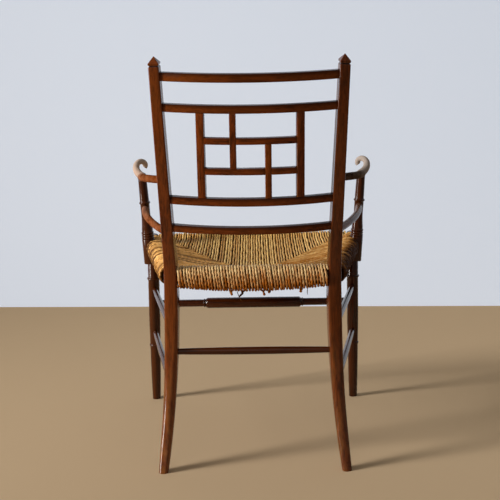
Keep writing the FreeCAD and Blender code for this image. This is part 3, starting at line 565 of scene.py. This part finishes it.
@dataclass
class StickGroup:
    """A sub-assembly of wooden sticks, each a finer copy of its CAD node with eased, rubbed edges.

    Attributes:
        title: the name used in the log.
        sticks: node names and the way their grain runs.
        handled: how far hands have worn a stick, at its rear end and at its front end.
        hand_power: how late along a stick that wear sets in.
        with_darkening: the sticks that are darker towards the top.
        scuffed: the sticks whose feet have been knocked and rubbed.
        grooved: the sticks with a groove under their tip, whose floor gets painted shade.
        finish: the finish of the sticks.
        rake: how far the back leans, in degrees.
        scuff: how far the feet are worn at the floor.
        scuff_height: how high the wear reaches, in metres.
        groove_drop: how far the floor of the groove lies under the tip, in metres.
        groove_half: half the height of that floor.
        groove_soot: how dark the painted shade in the groove is, against the top of a stick that darkens
            towards the top.
        ease: radius of the eased edges, in metres.
        sharp: edges that turn more than this, in degrees, are eased.
        flat: faces that turn less than this, in degrees, are joined before the edges are eased.
    """

    title: str
    sticks: dict[str, Grain]
    handled: dict[str, tuple[float, float]] = field(default_factory=dict)
    hand_power: float = 2.2
    with_darkening: tuple[str, ...] = ()
    scuffed: tuple[str, ...] = ()
    grooved: tuple[str, ...] = ()
    finish: WoodFinish = MELLOW_WOOD
    rake: float = 8.8
    scuff: float = 0.22
    scuff_height: float = 0.36
    groove_drop: float = 0.018
    groove_half: float = 0.0006
    groove_soot: float = 1.8
    ease: float = 0.0008
    sharp: float = 38.0
    flat: float = 0.4

    def build(self) -> None:
        """Makes every stick of the group."""
        for node, grain in self.sticks.items():
            self._stick(node, grain)
        LOG.info("%s: %d sticks", self.title, len(self.sticks))

    def _stick(self, node: str, grain: Grain) -> None:
        """Makes one stick.

        Args:
            node: the CAD node that it stands for.
            grain: the way its grain runs.
        """
        mesh = bpy.data.meshes.new(node + "_stick")
        shape = bmesh.new()
        shape.from_mesh(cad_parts[node].data)
        bmesh.ops.remove_doubles(shape, verts=shape.verts, dist=MERGE_DISTANCE)
        bmesh.ops.dissolve_limit(shape, angle_limit=math.radians(self.flat), verts=shape.verts,
                                 edges=shape.edges, delimit=set())
        self._ease_edges(shape)
        self._mark_handling(shape, node)
        self._mark_soot(shape, node)
        for face in shape.faces:
            face.smooth = True
        shape.to_mesh(mesh)
        shape.free()
        mesh.set_sharp_from_angle(angle=math.radians(self.sharp))
        piece = finished_object(node + "_stick", mesh, self.finish.material(grain))
        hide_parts(node)

    def _ease_edges(self, shape: bmesh.types.BMesh) -> None:
        """Rounds the sharp edges and marks them as rubbed.

        Args:
            shape: the stick.
        """
        limit = math.radians(self.sharp)
        edges = [edge for edge in shape.edges if len(edge.link_faces) == 2 and edge.calc_face_angle() > limit]
        layer = shape.verts.layers.float.new(EDGE_MASK)
        if not edges:
            return
        eased = bmesh.ops.bevel(shape, geom=edges, offset=self.ease, offset_type="OFFSET", segments=2,
                                profile=0.5, affect="EDGES", clamp_overlap=True, material=-1)
        rubbed = set(eased["faces"])
        for vert in eased["verts"]:
            if vert.is_valid and all(face in rubbed for face in vert.link_faces):
                vert[layer] = 1.0

    def _mark_handling(self, shape: bmesh.types.BMesh, node: str) -> None:
        """Marks how far hands have worn a stick from its rear end to its front end, and feet near the floor.

        Args:
            shape: the stick.
            node: its CAD node.
        """
        layer = shape.verts.layers.float.new(HAND_MASK)
        rear, front = self.handled.get(node, (0.0, 0.0))
        low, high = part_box(node)
        for vert in shape.verts:
            share = max(0.0, (vert.co.y - low.y) / (high.y - low.y))
            vert[layer] = rear + (front - rear) * share ** self.hand_power
            if node in self.scuffed:
                vert[layer] = self.scuff * max(0.0, 1.0 - vert.co.z / self.scuff_height)

    def _mark_soot(self, shape: bmesh.types.BMesh, node: str) -> None:
        """Marks how high each point lies up a stick that darkens towards the top, or the floor of a post's
        groove, which gets painted shade.

        Args:
            shape: the stick.
            node: its CAD node.
        """
        layer = shape.verts.layers.float.new(DARKENING_MASK)
        if node not in self.with_darkening + self.grooved:
            return
        rake = math.radians(self.rake)
        up_back = Vector((0.0, -math.sin(rake), math.cos(rake)))
        levels = {vert: vert.co.dot(up_back) for vert in shape.verts}
        low, high = min(levels.values()), max(levels.values())
        for vert, level in levels.items():
            if node in self.with_darkening:
                vert[layer] = (level - low) / (high - low)
            # The groove's floor gets painted shade.
            elif abs(high - level - self.groove_drop) < self.groove_half:
                vert[layer] = self.groove_soot


@dataclass
class Panel:
    """One of the four triangular fields of the rush seat.

    Attributes:
        name: the panel's name.
        rail_start: where its rail's middle line starts, in plan and height.
        rail_end: where it ends.
        inward: the way its strands run over the seat, in plan.
        looseness: how unevenly its strands lie, against the rear panel.
        tones: the darkest and the palest tone of its strands.
        slant: half of how far a strand moves along the rail on its way round it.
        spread: how steeply the strands at the panel's ends lean away from its middle.
        side_shade: how much darker its strands are half way round the rail, as painted shade.
        girth: the thickness of its strands, against the rear panel.
        finish: the finish of its strands.
    """

    name: str
    rail_start: Vector
    rail_end: Vector
    inward: Vector
    looseness: float
    tones: tuple[float, float]
    slant: float = 0.0012
    spread: float = 0.0
    side_shade: float = 0.0
    girth: float = 1.0
    finish: RushFinish = SIDE_RUSH

    def along(self) -> Vector:
        """Returns the way from the start of the rail to its end, as long as the rail."""
        return self.rail_end - self.rail_start


@dataclass(frozen=True)
class BrokenEnd:
    """A broken end of rush that hangs under the rear roll.

    Attributes:
        place: where it hangs across the seat, in metres.
        length: its length.
        radius: its radius.
        sideways: its lean along X, as a share of its length.
        tone: its tone, from shade to straw, kept low as painted shade under the roll.
    """

    place: float
    length: float
    radius: float
    sideways: float
    tone: float


@dataclass
class RushSeat:
    """The woven seat: twisted strands over each rail that meet along the seams, over an inner bundle painted
    near black as the shade in their gaps.

    Attributes:
        pitch: distance between strands along a rail.
        jitter: how far a strand lies off its place, as a share of the pitch.
        strand_radius: radius of a strand.
        girths: the thinnest and the thickest strand, against that radius.
        sink: how far the middle of a strand lies under the seat's outer surface.
        proud: how much higher or lower than that a strand may lie.
        step: distance between the rings of a strand.
        longest_step: a gap of more steps than this interrupts a strand.
        least_rings: a stretch with no more rings than this is left out.
        turns: the steps of a strand on its way round a rail.
        sides: corners of a strand's section.
        lay: length of one full twist of a strand.
        lobe: depth of the groove between the two plies of a strand, as a share of its radius.
        lobe_level: how far the groove also thins the whole strand, as a share of its depth.
        lump: how much a strand swells and thins, as a share of its radius.
        lump_length: distance between its lumps.
        closing: the thickness of a strand at its two ends, as a share of its radius.
        wander: how far a strand strays sideways.
        wander_length: distance between its bends.
        wander_shares: the least and the most that a strand strays, as shares of wander.
        core_sink: how far the inner bundle lies under the seat's outer surface.
        bleach_light_shade: how much paler the strands are on top than half way round a rail, and darker under
            it: partly sun bleaching, partly painted light on top and painted shade underneath.
        rail_half: half the thickness of a seat rail.
        least_rush: rush that lies thinner than this on a rail is left out.
        search: how far from the rails' middle lines the search for the seat's skin starts.
        grazing: a skin that the search meets at a smaller slope than this is passed over.
        end_rings: the steps of a broken end.
        end_setback: how far behind the rail's middle line the broken ends hang.
        end_leans: the limits of their lean along Y, as shares of their length.
        end_curl: how far they curl at most, as a share of their length.
        broken: the broken ends.
        seed: what the uneven draws start from.
        surface: the seat's outer surface.
        draw: the source of the uneven draws.
        corners: where the middle lines of the front and rear rails end, by rail and side.
    """

    pitch: float = 0.0060
    jitter: float = 0.1
    strand_radius: float = 0.0027
    girths: tuple[float, float] = (0.9, 1.08)
    sink: float = 0.0013
    proud: float = 0.0004
    step: float = 0.0036
    longest_step: int = 4
    least_rings: int = 3
    turns: int = 22
    sides: int = 8
    lay: float = 0.019
    lobe: float = 0.22
    lobe_level: float = 0.4
    lump: float = 0.1
    lump_length: float = 0.031
    closing: float = 0.35
    wander: float = 0.0005
    wander_length: float = 0.052
    wander_shares: tuple[float, float] = (0.3, 1.0)
    core_sink: float = 0.0042
    bleach_light_shade: float = 0.31
    rail_half: float = 0.012
    least_rush: float = 0.003
    search: float = 0.12
    grazing: float = 0.05
    end_rings: int = 6
    end_setback: float = 0.006
    end_leans: tuple[float, float] = (-0.4, 0.0)
    end_curl: float = 0.3
    # Their low tones are painted shade under the roll.
    broken: tuple[BrokenEnd, ...] = (
        BrokenEnd(-0.0465, 0.010, 0.0034, 0.0, 0.1),
        BrokenEnd(-0.0340, 0.021, 0.0008, 0.25, -0.3),
        BrokenEnd(-0.0225, 0.010, 0.0032, 0.1, -0.4),
        BrokenEnd(-0.0185, 0.014, 0.0019, -0.55, -0.4),
        BrokenEnd(0.0220, 0.012, 0.0030, 0.1, 0.0),
        BrokenEnd(0.0350, 0.007, 0.0030, -0.1, 0.0),
        BrokenEnd(0.1025, 0.010, 0.0042, -0.1, 0.1),
        BrokenEnd(0.1170, 0.016, 0.0009, -0.35, -0.4),
    )
    seed: int = 11
    surface: BVHTree = field(init=False)
    draw: random.Random = field(init=False)
    corners: dict[tuple[str, str], Vector] = field(init=False)

    def build(self) -> None:
        """Makes the inner bundle, the strands of the four panels and the broken ends."""
        self.draw = random.Random(self.seed)
        self.corners = self._rail_ends()
        shape = bmesh.new()
        shape.from_mesh(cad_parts["rush_seat"].data)
        bmesh.ops.remove_doubles(shape, verts=shape.verts, dist=MERGE_DISTANCE)
        self.surface = BVHTree.FromBMesh(shape)
        self._core(shape)
        panels = self._panels()
        for panel in panels:
            self._strands(panel)
        self._broken_ends(panels[0])

    def _core(self, shape: bmesh.types.BMesh) -> None:
        """Makes the bundle under the strands, painted near black as the shade in their gaps.

        Args:
            shape: a merged copy of the seat's CAD solid, which is used up.
        """
        shape.normal_update()
        for vert in shape.verts:
            vert.co -= vert.normal * self.core_sink
        shape.verts.layers.float.new(STRAND_TONE)
        mesh = bpy.data.meshes.new("shaded_rush_bundle")
        shape.to_mesh(mesh)
        shape.free()
        piece = finished_object("shaded_rush_bundle", mesh, SHADED_RUSH.material())
        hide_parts("rush_seat")

    @staticmethod
    def _rail_ends() -> dict[tuple[str, str], Vector]:
        """Finds the ends of the front and rear rails' middle lines, at the height of the rear rail.

        Returns:
            The points, by rail and side.
        """
        boxes = {rail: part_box(f"seat_rail_{rail}") for rail in ("rear", "front")}
        height = sum(corner.z for corner in boxes["rear"]) / 2
        ends = {}
        for rail, (low, high) in boxes.items():
            for side, across in (("left", low.x), ("right", high.x)):
                ends[rail, side] = Vector((across, (low.y + high.y) / 2, height))
        return ends

    def _panels(self) -> list[Panel]:
        """Works out the four panels from the seat rails.

        Returns:
            The rear, front, right and left panels.
        """
        rear_left, rear_right = self.corners["rear", "left"], self.corners["rear", "right"]
        front_left, front_right = self.corners["front", "left"], self.corners["front", "right"]
        return [
            Panel("rush_rear", rear_left, rear_right, Vector((0, 1, 0)), looseness=1.0,
                  tones=(0.25, 0.53), slant=0.003, finish=REAR_LIGHT_RUSH),
            Panel("rush_front", front_left, front_right, Vector((0, -1, 0)), looseness=1.2,
                  tones=(0.03, 0.43), spread=0.08, girth=0.88, finish=FRONT_LIGHT_RUSH),
            # The right panel gets strong painted shade half way round its rail, the left panel less.
            Panel("rush_right", rear_right, front_right, Vector((-1, 0, 0)), looseness=3.0,
                  tones=(-0.28, 0.3), side_shade=0.6),
            # The left panel takes the copy with painted window light and sheen.
            Panel("rush_left", rear_left, front_left, Vector((1, 0, 0)), looseness=3.0,
                  tones=(-0.33, 0.77), side_shade=0.24, finish=LIT_SHEEN_RUSH),
        ]

    def _reach(self, panel: Panel, base: Vector) -> float:
        """Length of a strand from its rail's middle line to the seam.

        Args:
            panel: the panel of the strand.
            base: where the strand crosses the rail's middle line.

        Returns:
            The distance along the panel's inward direction.
        """
        first = (base - panel.rail_start).length
        second = (panel.rail_end - base).length
        if panel.inward.y:
            middle = (self._seam_y() - panel.rail_start.y) * panel.inward.y
            lean = panel.spread * abs(first - second) / (first + second)
            return min(first / (1 + lean), second / (1 + lean), middle)
        rear_gap = base.y - panel.rail_start.y
        front_gap = panel.rail_end.y - base.y
        rear_seam = abs(panel.rail_start.x) - rear_gap
        front_seam = abs(panel.rail_end.x) - front_gap
        return abs(base.x) - max(rear_seam, front_seam, 0.0)

    def _seam_y(self) -> float:
        """Returns where the short seam between the front and rear panels lies."""
        rear, front = self.corners["rear", "right"], self.corners["front", "right"]
        return (rear.y + rear.x + front.y - front.x) / 2

    def _skin(self, origin: Vector, way: Vector, span: float, sink: float) -> Vector | None:
        """Finds a point a little under the seat's skin.

        Args:
            origin: a point outside the seat.
            way: the direction to look in.
            span: how far to look.
            sink: how far under the skin the point lies.

        Returns:
            The point, or None where there is no skin.
        """
        place, normal, _, _ = self.surface.ray_cast(origin, way, span)
        if place is None or normal.dot(way) > -self.grazing:
            return None
        return place - normal * sink

    def _route(self, panel: Panel, base: Vector) -> list[list[tuple[Vector, float]]]:
        """Follows a strand from the lower seam round its rail to the upper seam.

        Args:
            panel: the panel of the strand.
            base: where the strand crosses the rail's middle line.

        Returns:
            The stretches of the strand that nothing interrupts, as points with their change of tone.
        """
        along = panel.along()
        reach = self._reach(panel, base)
        count = max(1, int(reach / self.step))
        share = 2 * (base - panel.rail_start).length / along.length - 1
        way = panel.inward + along.normalized() * (panel.spread * share)
        inner = [base + way * (reach * (1 - index / count)) for index in range(count)]
        sink = self.sink + self.draw.uniform(-self.proud, self.proud) * panel.looseness
        slant = along.normalized() * panel.slant
        outside = UP * self.search
        # Strands are paler over the seat and darker under it: partly bleaching, partly painted light and
        # painted shade.
        samples: Samples = []
        for point in inner:
            found = self._skin(point + slant - outside, UP, 2 * self.search, sink)
            samples.append((found, -self.bleach_light_shade))
        samples += self._turn(panel, base, slant, sink)
        for point in reversed(inner):
            found = self._skin(point - slant + outside, -UP, 2 * self.search, sink)
            samples.append((found, self.bleach_light_shade))
        return self._stretches(samples)

    def _turn(self, panel: Panel, base: Vector, slant: Vector, sink: float) -> Samples:
        """Follows a strand round its rail, from below it to above it.

        Args:
            panel: the panel of the strand.
            base: where the strand crosses the rail's middle line.
            slant: how far it lies along the rail at the bottom, and the other way at the top.
            sink: how far under the skin it lies.

        Returns:
            Its points, or None where there is no rush, with their change of tone.
        """
        samples = []
        for index in range(self.turns + 1):
            angle = math.pi * index / self.turns
            spoke = -UP * math.cos(angle) - panel.inward * math.sin(angle)
            start = base + slant * math.cos(angle)
            found = self._skin(start + spoke * self.search, -spoke, self.search - self.rail_half, sink)
            if found is not None and (found - start).length < self.rail_half + self.least_rush:
                found = None
            # Paler on top and darker underneath as above, and painted shade half way round the side panels'
            # rails.
            samples.append((found, -self.bleach_light_shade * math.cos(angle) - panel.side_shade * math.sin(angle)))
        return samples

    def _stretches(self, samples: Samples) -> list[list[tuple[Vector, float]]]:
        """Divides a strand where a post, a leg or a gap interrupts it.

        Args:
            samples: its points, or None where there is no rush, with their change of tone.

        Returns:
            The stretches that are long enough to show.
        """
        runs: list[list[tuple[Vector, float]]] = [[]]
        longest = self.longest_step * self.step
        for place, paler in samples:
            if place is None or (runs[-1] and (place - runs[-1][-1][0]).length > longest):
                runs.append([])
            if place is not None:
                runs[-1].append((place, paler))
        return [run for run in runs if len(run) > self.least_rings]

    def _strands(self, panel: Panel) -> None:
        """Makes the strands of one panel.

        Args:
            panel: the panel.
        """
        shape = bmesh.new()
        tone_layer = shape.verts.layers.float.new(STRAND_TONE)
        along = panel.along()
        count = int(along.length / self.pitch)
        for index in range(1, count):
            jitter = self.draw.uniform(-self.jitter, self.jitter) * panel.looseness
            base = panel.rail_start + along * ((index + jitter) / count)
            tone = self.draw.uniform(*panel.tones)
            radius = self.strand_radius * panel.girth * self.draw.uniform(*self.girths)
            for run in self._route(panel, base):
                strayed = self._strayed([place for place, _ in run], along.normalized() * panel.looseness)
                self._twist(shape, tone_layer, strayed, radius, [tone + paler for _, paler in run])
        self._dress(panel.name, shape, panel.finish)

    def _broken_ends(self, panel: Panel) -> None:
        """Hangs the tufts of broken rush under the rear roll.

        Args:
            panel: the rear panel.
        """
        shape = bmesh.new()
        tone_layer = shape.verts.layers.float.new(STRAND_TONE)
        rail = (panel.rail_start + panel.rail_end) / 2
        shares = [index / self.end_rings for index in range(self.end_rings + 1)]
        for end in self.broken:
            foot = rail + Vector((end.place, -self.end_setback, 0))
            root = self._skin(foot - UP * self.search, UP, 2 * self.search, self.sink)
            lean = Vector((end.sideways, self.draw.uniform(*self.end_leans), -1.0))
            curl = Vector([self.draw.uniform(-self.end_curl, self.end_curl) for _ in "XY"] + [0.0])
            run = [root + (lean + curl * share) * (end.length * share) for share in shares]
            self._twist(shape, tone_layer, run, end.radius, [end.tone] * len(run))
        self._dress("rush_broken_ends", shape, panel.finish)

    @staticmethod
    def _dress(name: str, shape: bmesh.types.BMesh, finish: RushFinish) -> None:
        """Finishes a mesh of strands as a piece of the seat.

        Args:
            name: the piece's name.
            shape: the strands, which are used up.
            finish: their finish.
        """
        bmesh.ops.remove_doubles(shape, verts=shape.verts, dist=MERGE_DISTANCE)
        bmesh.ops.recalc_face_normals(shape, faces=shape.faces)
        for face in shape.faces:
            face.smooth = True
        mesh = bpy.data.meshes.new(name)
        shape.to_mesh(mesh)
        shape.free()
        finished_object(name, mesh, finish.material())

    def _strayed(self, run: list[Vector], sideways: Vector) -> list[Vector]:
        """Lets a route stray sideways, as strands that were laid by hand do.

        Args:
            run: the route.
            sideways: the direction of its rail, as long as the strands are loose.

        Returns:
            The strayed route.
        """
        phase = self.draw.uniform(0, math.tau)
        swing = self.wander * self.draw.uniform(*self.wander_shares)
        turn = math.tau * self.step / self.wander_length
        offsets = [swing * math.sin(phase + turn * index) for index, _ in enumerate(run)]
        return [point + sideways * offset for point, offset in zip(run, offsets)]

    def _twist(self, shape: bmesh.types.BMesh, tone_layer: bmesh.types.BMLayerItem, run: list[Vector],
               radius: float, tones: list[float]) -> None:
        """Adds one twisted strand, as a strip that is rolled round its route.

        Args:
            shape: the panel's mesh.
            tone_layer: the layer that holds the tone of the strands.
            run: the route of the strand's middle line.
            radius: the strand's radius.
            tones: its tone at each point of the route, from shade to straw.
        """
        strip = bmesh.ops.create_grid(shape, x_segments=self.sides, y_segments=len(run) - 1, size=1.0)
        start_turn = self.draw.uniform(0, math.tau)
        lump_turn = self.draw.uniform(0, math.tau)
        distances = [0.0]
        for before, after in zip(run, run[1:]):
            distances.append(distances[-1] + (after - before).length)
        frames = self._frames(run)
        last = len(run) - 1
        for vert in strip["verts"]:
            ring = round((vert.co.y + 1) / 2 * last)
            angle = (vert.co.x + 1) * math.pi
            across, over = frames[ring]
            turn = start_turn + math.tau * distances[ring] / self.lay
            closing = self.closing if ring in (0, last) else 1.0
            swell = 1 + self.lump * math.sin(lump_turn + math.tau * distances[ring] / self.lump_length)
            plies = 1 + self.lobe * (math.cos(2 * (angle - turn)) - self.lobe_level)
            size = radius * closing * swell * plies
            vert.co = run[ring] + across * (size * math.cos(angle)) + over * (size * math.sin(angle))
            vert[tone_layer] = tones[ring]

    @staticmethod
    def _frames(run: list[Vector]) -> list[tuple[Vector, Vector]]:
        """Carries a pair of section axes along a route without twisting.

        Args:
            run: the route.

        Returns:
            The two axes at each point.
        """
        frames = []
        across = None
        for index, _ in enumerate(run):
            way = (run[min(index + 1, len(run) - 1)] - run[max(index - 1, 0)]).normalized()
            if across is None:
                across = way.orthogonal()
            across = (across - way * across.dot(way)).normalized()
            frames.append((across, way.cross(across)))
        return frames


@dataclass(frozen=True)
class Lamp:
    """A soft lamp.

    Attributes:
        name: its name.
        place: where it stands, in metres.
        target: what it points at.
        size: its width and height.
        power: its power, in watts.
        spread: how far its light fans out, in degrees.
        colour: the colour of its light.
    """

    name: str
    place: Point
    target: Point
    size: tuple[float, float]
    power: float
    spread: float
    colour: Colour = (1.0, 0.97, 0.94)

    def build(self) -> None:
        """Sets up the lamp."""
        data = bpy.data.lights.new(self.name, "AREA")
        data.shape = "RECTANGLE"
        data.size, data.size_y = self.size
        data.energy = self.power
        data.spread = math.radians(self.spread)
        data.color = self.colour
        lamp = bpy.data.objects.new(self.name, data)
        way = Vector(self.target) - Vector(self.place)
        turn = way.to_track_quat("-Z", "Y").to_matrix().to_4x4()
        lamp.matrix_world = Matrix.Translation(self.place) @ turn
        bpy.context.scene.collection.objects.link(lamp)


@dataclass
class Studio:
    """The pale floor and wall, the soft lights and the camera at the photograph's viewing angle.

    Attributes:
        camera_place: where the camera stands, in metres.
        pitch: how far the camera looks down, in degrees.
        pan: how far it looks to its left, in degrees.
        roll: how far it leans, in degrees.
        lens: its focal length on a 36 mm sensor, in millimetres.
        reach: how far the floor and wall run to each side, in metres.
        wall_y: where the wall stands, beyond the chair's front, in metres.
        wall_turn: how far the wall turns towards the camera on the right, in degrees.
        floor_colour: the colour of the floor.
        wall_colour: the colour of the wall.
        wall_glow: what the wall adds to its own light, so that it stays evenly pale.
        roughness: the roughness of the floor and wall.
        room_colour: the colour of the light from the rest of the room.
        room_light: its strength.
        lamps: the lamps.
    """

    camera_place: Point = (0.0067, -2.3155, 0.900)
    pitch: float = 11.52
    pan: float = 0.3
    roll: float = 0.88
    lens: float = 75.6
    reach: float = 7.0
    wall_y: float = 1.14
    wall_turn: float = 2.6
    floor_colour: Colour = (0.60, 0.445, 0.28)
    wall_colour: Colour = (0.60, 0.65, 0.72)
    wall_glow: Colour = (0.220, 0.255, 0.315)
    roughness: float = 0.8
    room_colour: Colour = (1.0, 0.93, 0.84)
    room_light: float = 0.2
    lamps: tuple[Lamp, ...] = (
        Lamp("window_left", (-5.2, -1.5, 2.2), (0.0, 0.0, 0.6), size=(1.1, 4.0), power=56.0, spread=54.0),
        Lamp("room_fill", (-0.6, -3.4, 2.4), (0.0, 0.0, 0.45), size=(2.4, 2.4), power=9.0, spread=180.0),
    )

    def build(self) -> None:
        """Makes the floor, the wall, the light and the camera."""
        self._surface("floor", self.floor_colour, Matrix.Identity(4))
        turn = Matrix.Rotation(-math.radians(self.wall_turn), 4, "Z")
        stand = Matrix.Translation((0.0, self.wall_y, 0.0)) @ turn @ Matrix.Rotation(math.pi / 2, 4, "X")
        self._glow(self._surface("wall", self.wall_colour, stand))
        self._world()
        for lamp in self.lamps:
            lamp.build()
        self._camera()
        bpy.context.scene.view_settings.view_transform = "Standard"

    def _glow(self, material: bpy.types.Material) -> None:
        """Keeps the wall evenly pale to the eye, without more light on the chair.

        Args:
            material: the wall's material.
        """
        tree = material.node_tree
        shader = tree.nodes["Principled BSDF"]
        path = tree.nodes.new("ShaderNodeLightPath")
        seen = path.outputs["Is Camera Ray"]
        for ray in ("Is Glossy Ray", "Is Transmission Ray"):
            seen = add_math(tree, "MAXIMUM", seen, path.outputs[ray])
        fill(tree, shader, Emission_Color=(*self.wall_glow, 1.0), Emission_Strength=seen)

    def _surface(self, name: str, colour: Colour, place: Matrix) -> bpy.types.Material:
        """Makes the floor or the wall, which can't be seen from its back.

        Args:
            name: the surface's name.
            colour: its colour.
            place: where it lies, from a square on the ground.

        Returns:
            Its material.
        """
        material, shader = new_material("pale_" + name)
        tree = material.node_tree
        fill(tree, shader, Base_Color=(*colour, 1.0), Roughness=self.roughness, Specular_IOR_Level=0.0)
        behind = tree.nodes.new("ShaderNodeNewGeometry").outputs["Backfacing"]
        clear = tree.nodes.new("ShaderNodeBsdfTransparent").outputs[0]
        either = tree.nodes.new("ShaderNodeMixShader")
        for socket, given in zip(either.inputs, (behind, shader.outputs[0], clear)):
            feed(tree, socket, given)
        fill(tree, tree.nodes["Material Output"], Surface=either.outputs[0])
        shape = bmesh.new()
        bmesh.ops.create_grid(shape, x_segments=1, y_segments=1, size=self.reach, matrix=place)
        mesh = bpy.data.meshes.new(name)
        shape.to_mesh(mesh)
        shape.free()
        mesh.materials.append(material)
        surface = bpy.data.objects.new(name, mesh)
        bpy.context.scene.collection.objects.link(surface)
        return material

    def _world(self) -> None:
        """Sets the even light of the room."""
        world = bpy.data.worlds.new("studio")
        world.use_nodes = True
        tree = world.node_tree
        fill(tree, tree.nodes["Background"], Color=(*self.room_colour, 1.0), Strength=self.room_light)
        bpy.context.scene.world = world

    def _camera(self) -> None:
        """Places the camera as it stood for the photograph."""
        pitch, pan, roll = (math.radians(angle) for angle in (self.pitch, self.pan, self.roll))
        way = Vector((-math.sin(pan) * math.cos(pitch), math.cos(pan) * math.cos(pitch), -math.sin(pitch)))
        level = way.cross(UP).normalized()
        upright = level.cross(way)
        right = level * math.cos(roll) - upright * math.sin(roll)
        top = level * math.sin(roll) + upright * math.cos(roll)
        data = bpy.data.cameras.new("camera")
        data.lens = self.lens
        camera = bpy.data.objects.new("camera", data)
        turn = Matrix((right, top, -way)).transposed().to_4x4()
        camera.matrix_world = Matrix.Translation(self.camera_place) @ turn
        bpy.context.scene.collection.objects.link(camera)
        bpy.context.scene.camera = camera


def both_sides(*names: str) -> list[str]:
    """Returns the left and right node names of each given piece."""
    return [f"{name}_{side}" for name in names for side in ("left", "right")]


def chair_sticks() -> list[StickGroup]:
    """Lists the wooden sub-assemblies.

    Returns:
        The posts, the back rails, the lattice, the arms, the legs, the stretchers and the seat frame.
    """
    rails = ("back_rail_crest", "back_rail_upper", "back_rail_lower", "back_rail_bottom")
    bars = ("lattice_bar_upper", "lattice_bar_lower")
    uprights = both_sides("lattice_stile") + ["lattice_short_upper", "lattice_short_lower"]
    lattice = dict.fromkeys(uprights, Grain.UPRIGHT) | dict.fromkeys(bars, Grain.CROSSWISE)
    left_arm = dict.fromkeys(("arm_left", "under_arm_rail_left"), Grain.LENGTHWISE)
    arm_wear = (0.12, 0.95)
    rail_wear = (0.28, 0.42)
    handled = dict.fromkeys(both_sides("arm"), arm_wear)
    handled |= dict.fromkeys(both_sides("under_arm_rail"), rail_wear)
    stretchers = dict.fromkeys(("front_stretcher", "rear_stretcher"), Grain.CROSSWISE)
    side_stretchers = both_sides("side_stretcher_upper", "side_stretcher_lower")
    stretchers |= dict.fromkeys(side_stretchers, Grain.LENGTHWISE)
    seat = dict.fromkeys(("seat_rail_front", "seat_rail_rear"), Grain.CROSSWISE)
    seat |= dict.fromkeys(both_sides("seat_rail"), Grain.LENGTHWISE)
    return [
        StickGroup("left post", {"rear_post_left": Grain.UPRIGHT}, scuffed=("rear_post_left",),
                   grooved=("rear_post_left",)),
        StickGroup("back rails", dict.fromkeys(rails, Grain.CROSSWISE), with_darkening=rails, finish=RAIL_WOOD),
        # The right post wears painted shade.
        StickGroup("right post", {"rear_post_right": Grain.UPRIGHT}, scuffed=("rear_post_right",),
                   grooved=("rear_post_right",), finish=SHADED_POST_WOOD),
        StickGroup("lattice", lattice, with_darkening=bars, finish=LATTICE_WOOD),
        StickGroup("left arm", left_arm, handled, finish=DULLED_WOOD),
        # The right arm greys towards its curl: a painted sheen over painted shade.
        StickGroup("right arm", {"arm_right": Grain.LENGTHWISE}, handled, hand_power=1.7, finish=SHEEN_AND_SHADE_WOOD),
        # The right under-arm rail wears painted shade.
        StickGroup("right under-arm rail", {"under_arm_rail_right": Grain.LENGTHWISE}, handled,
                   finish=SHADED_RUBBED_WOOD),
        # The supports, front legs, stretchers and seat frame wear painted shade.
        StickGroup("arm supports", dict.fromkeys(both_sides("arm_support"), Grain.UPRIGHT), finish=DEEP_SHADE_WOOD),
        StickGroup("front legs", dict.fromkeys(both_sides("front_leg"), Grain.UPRIGHT), finish=DEEP_SHADE_WOOD),
        StickGroup("stretchers", stretchers, finish=DEEP_SHADE_WOOD),
        StickGroup("seat frame", seat, finish=DEEP_SHADE_WOOD),
    ]


def dress_screws() -> None:
    """Gives the arm screws their steel finish."""
    for name in both_sides("arm_screw"):
        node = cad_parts[name]
        node.data.materials.clear()
        node.data.materials.append(SteelFinish().material())


def main() -> None:
    """Builds the chair's sub-assemblies in order."""
    logging.basicConfig(level=logging.INFO, format="%(name)s: %(message)s")
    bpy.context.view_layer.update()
    for group in chair_sticks():
        group.build()
    dress_screws()
    RushSeat().build()
    Studio().build()


if __name__ == "__main__":
    main()
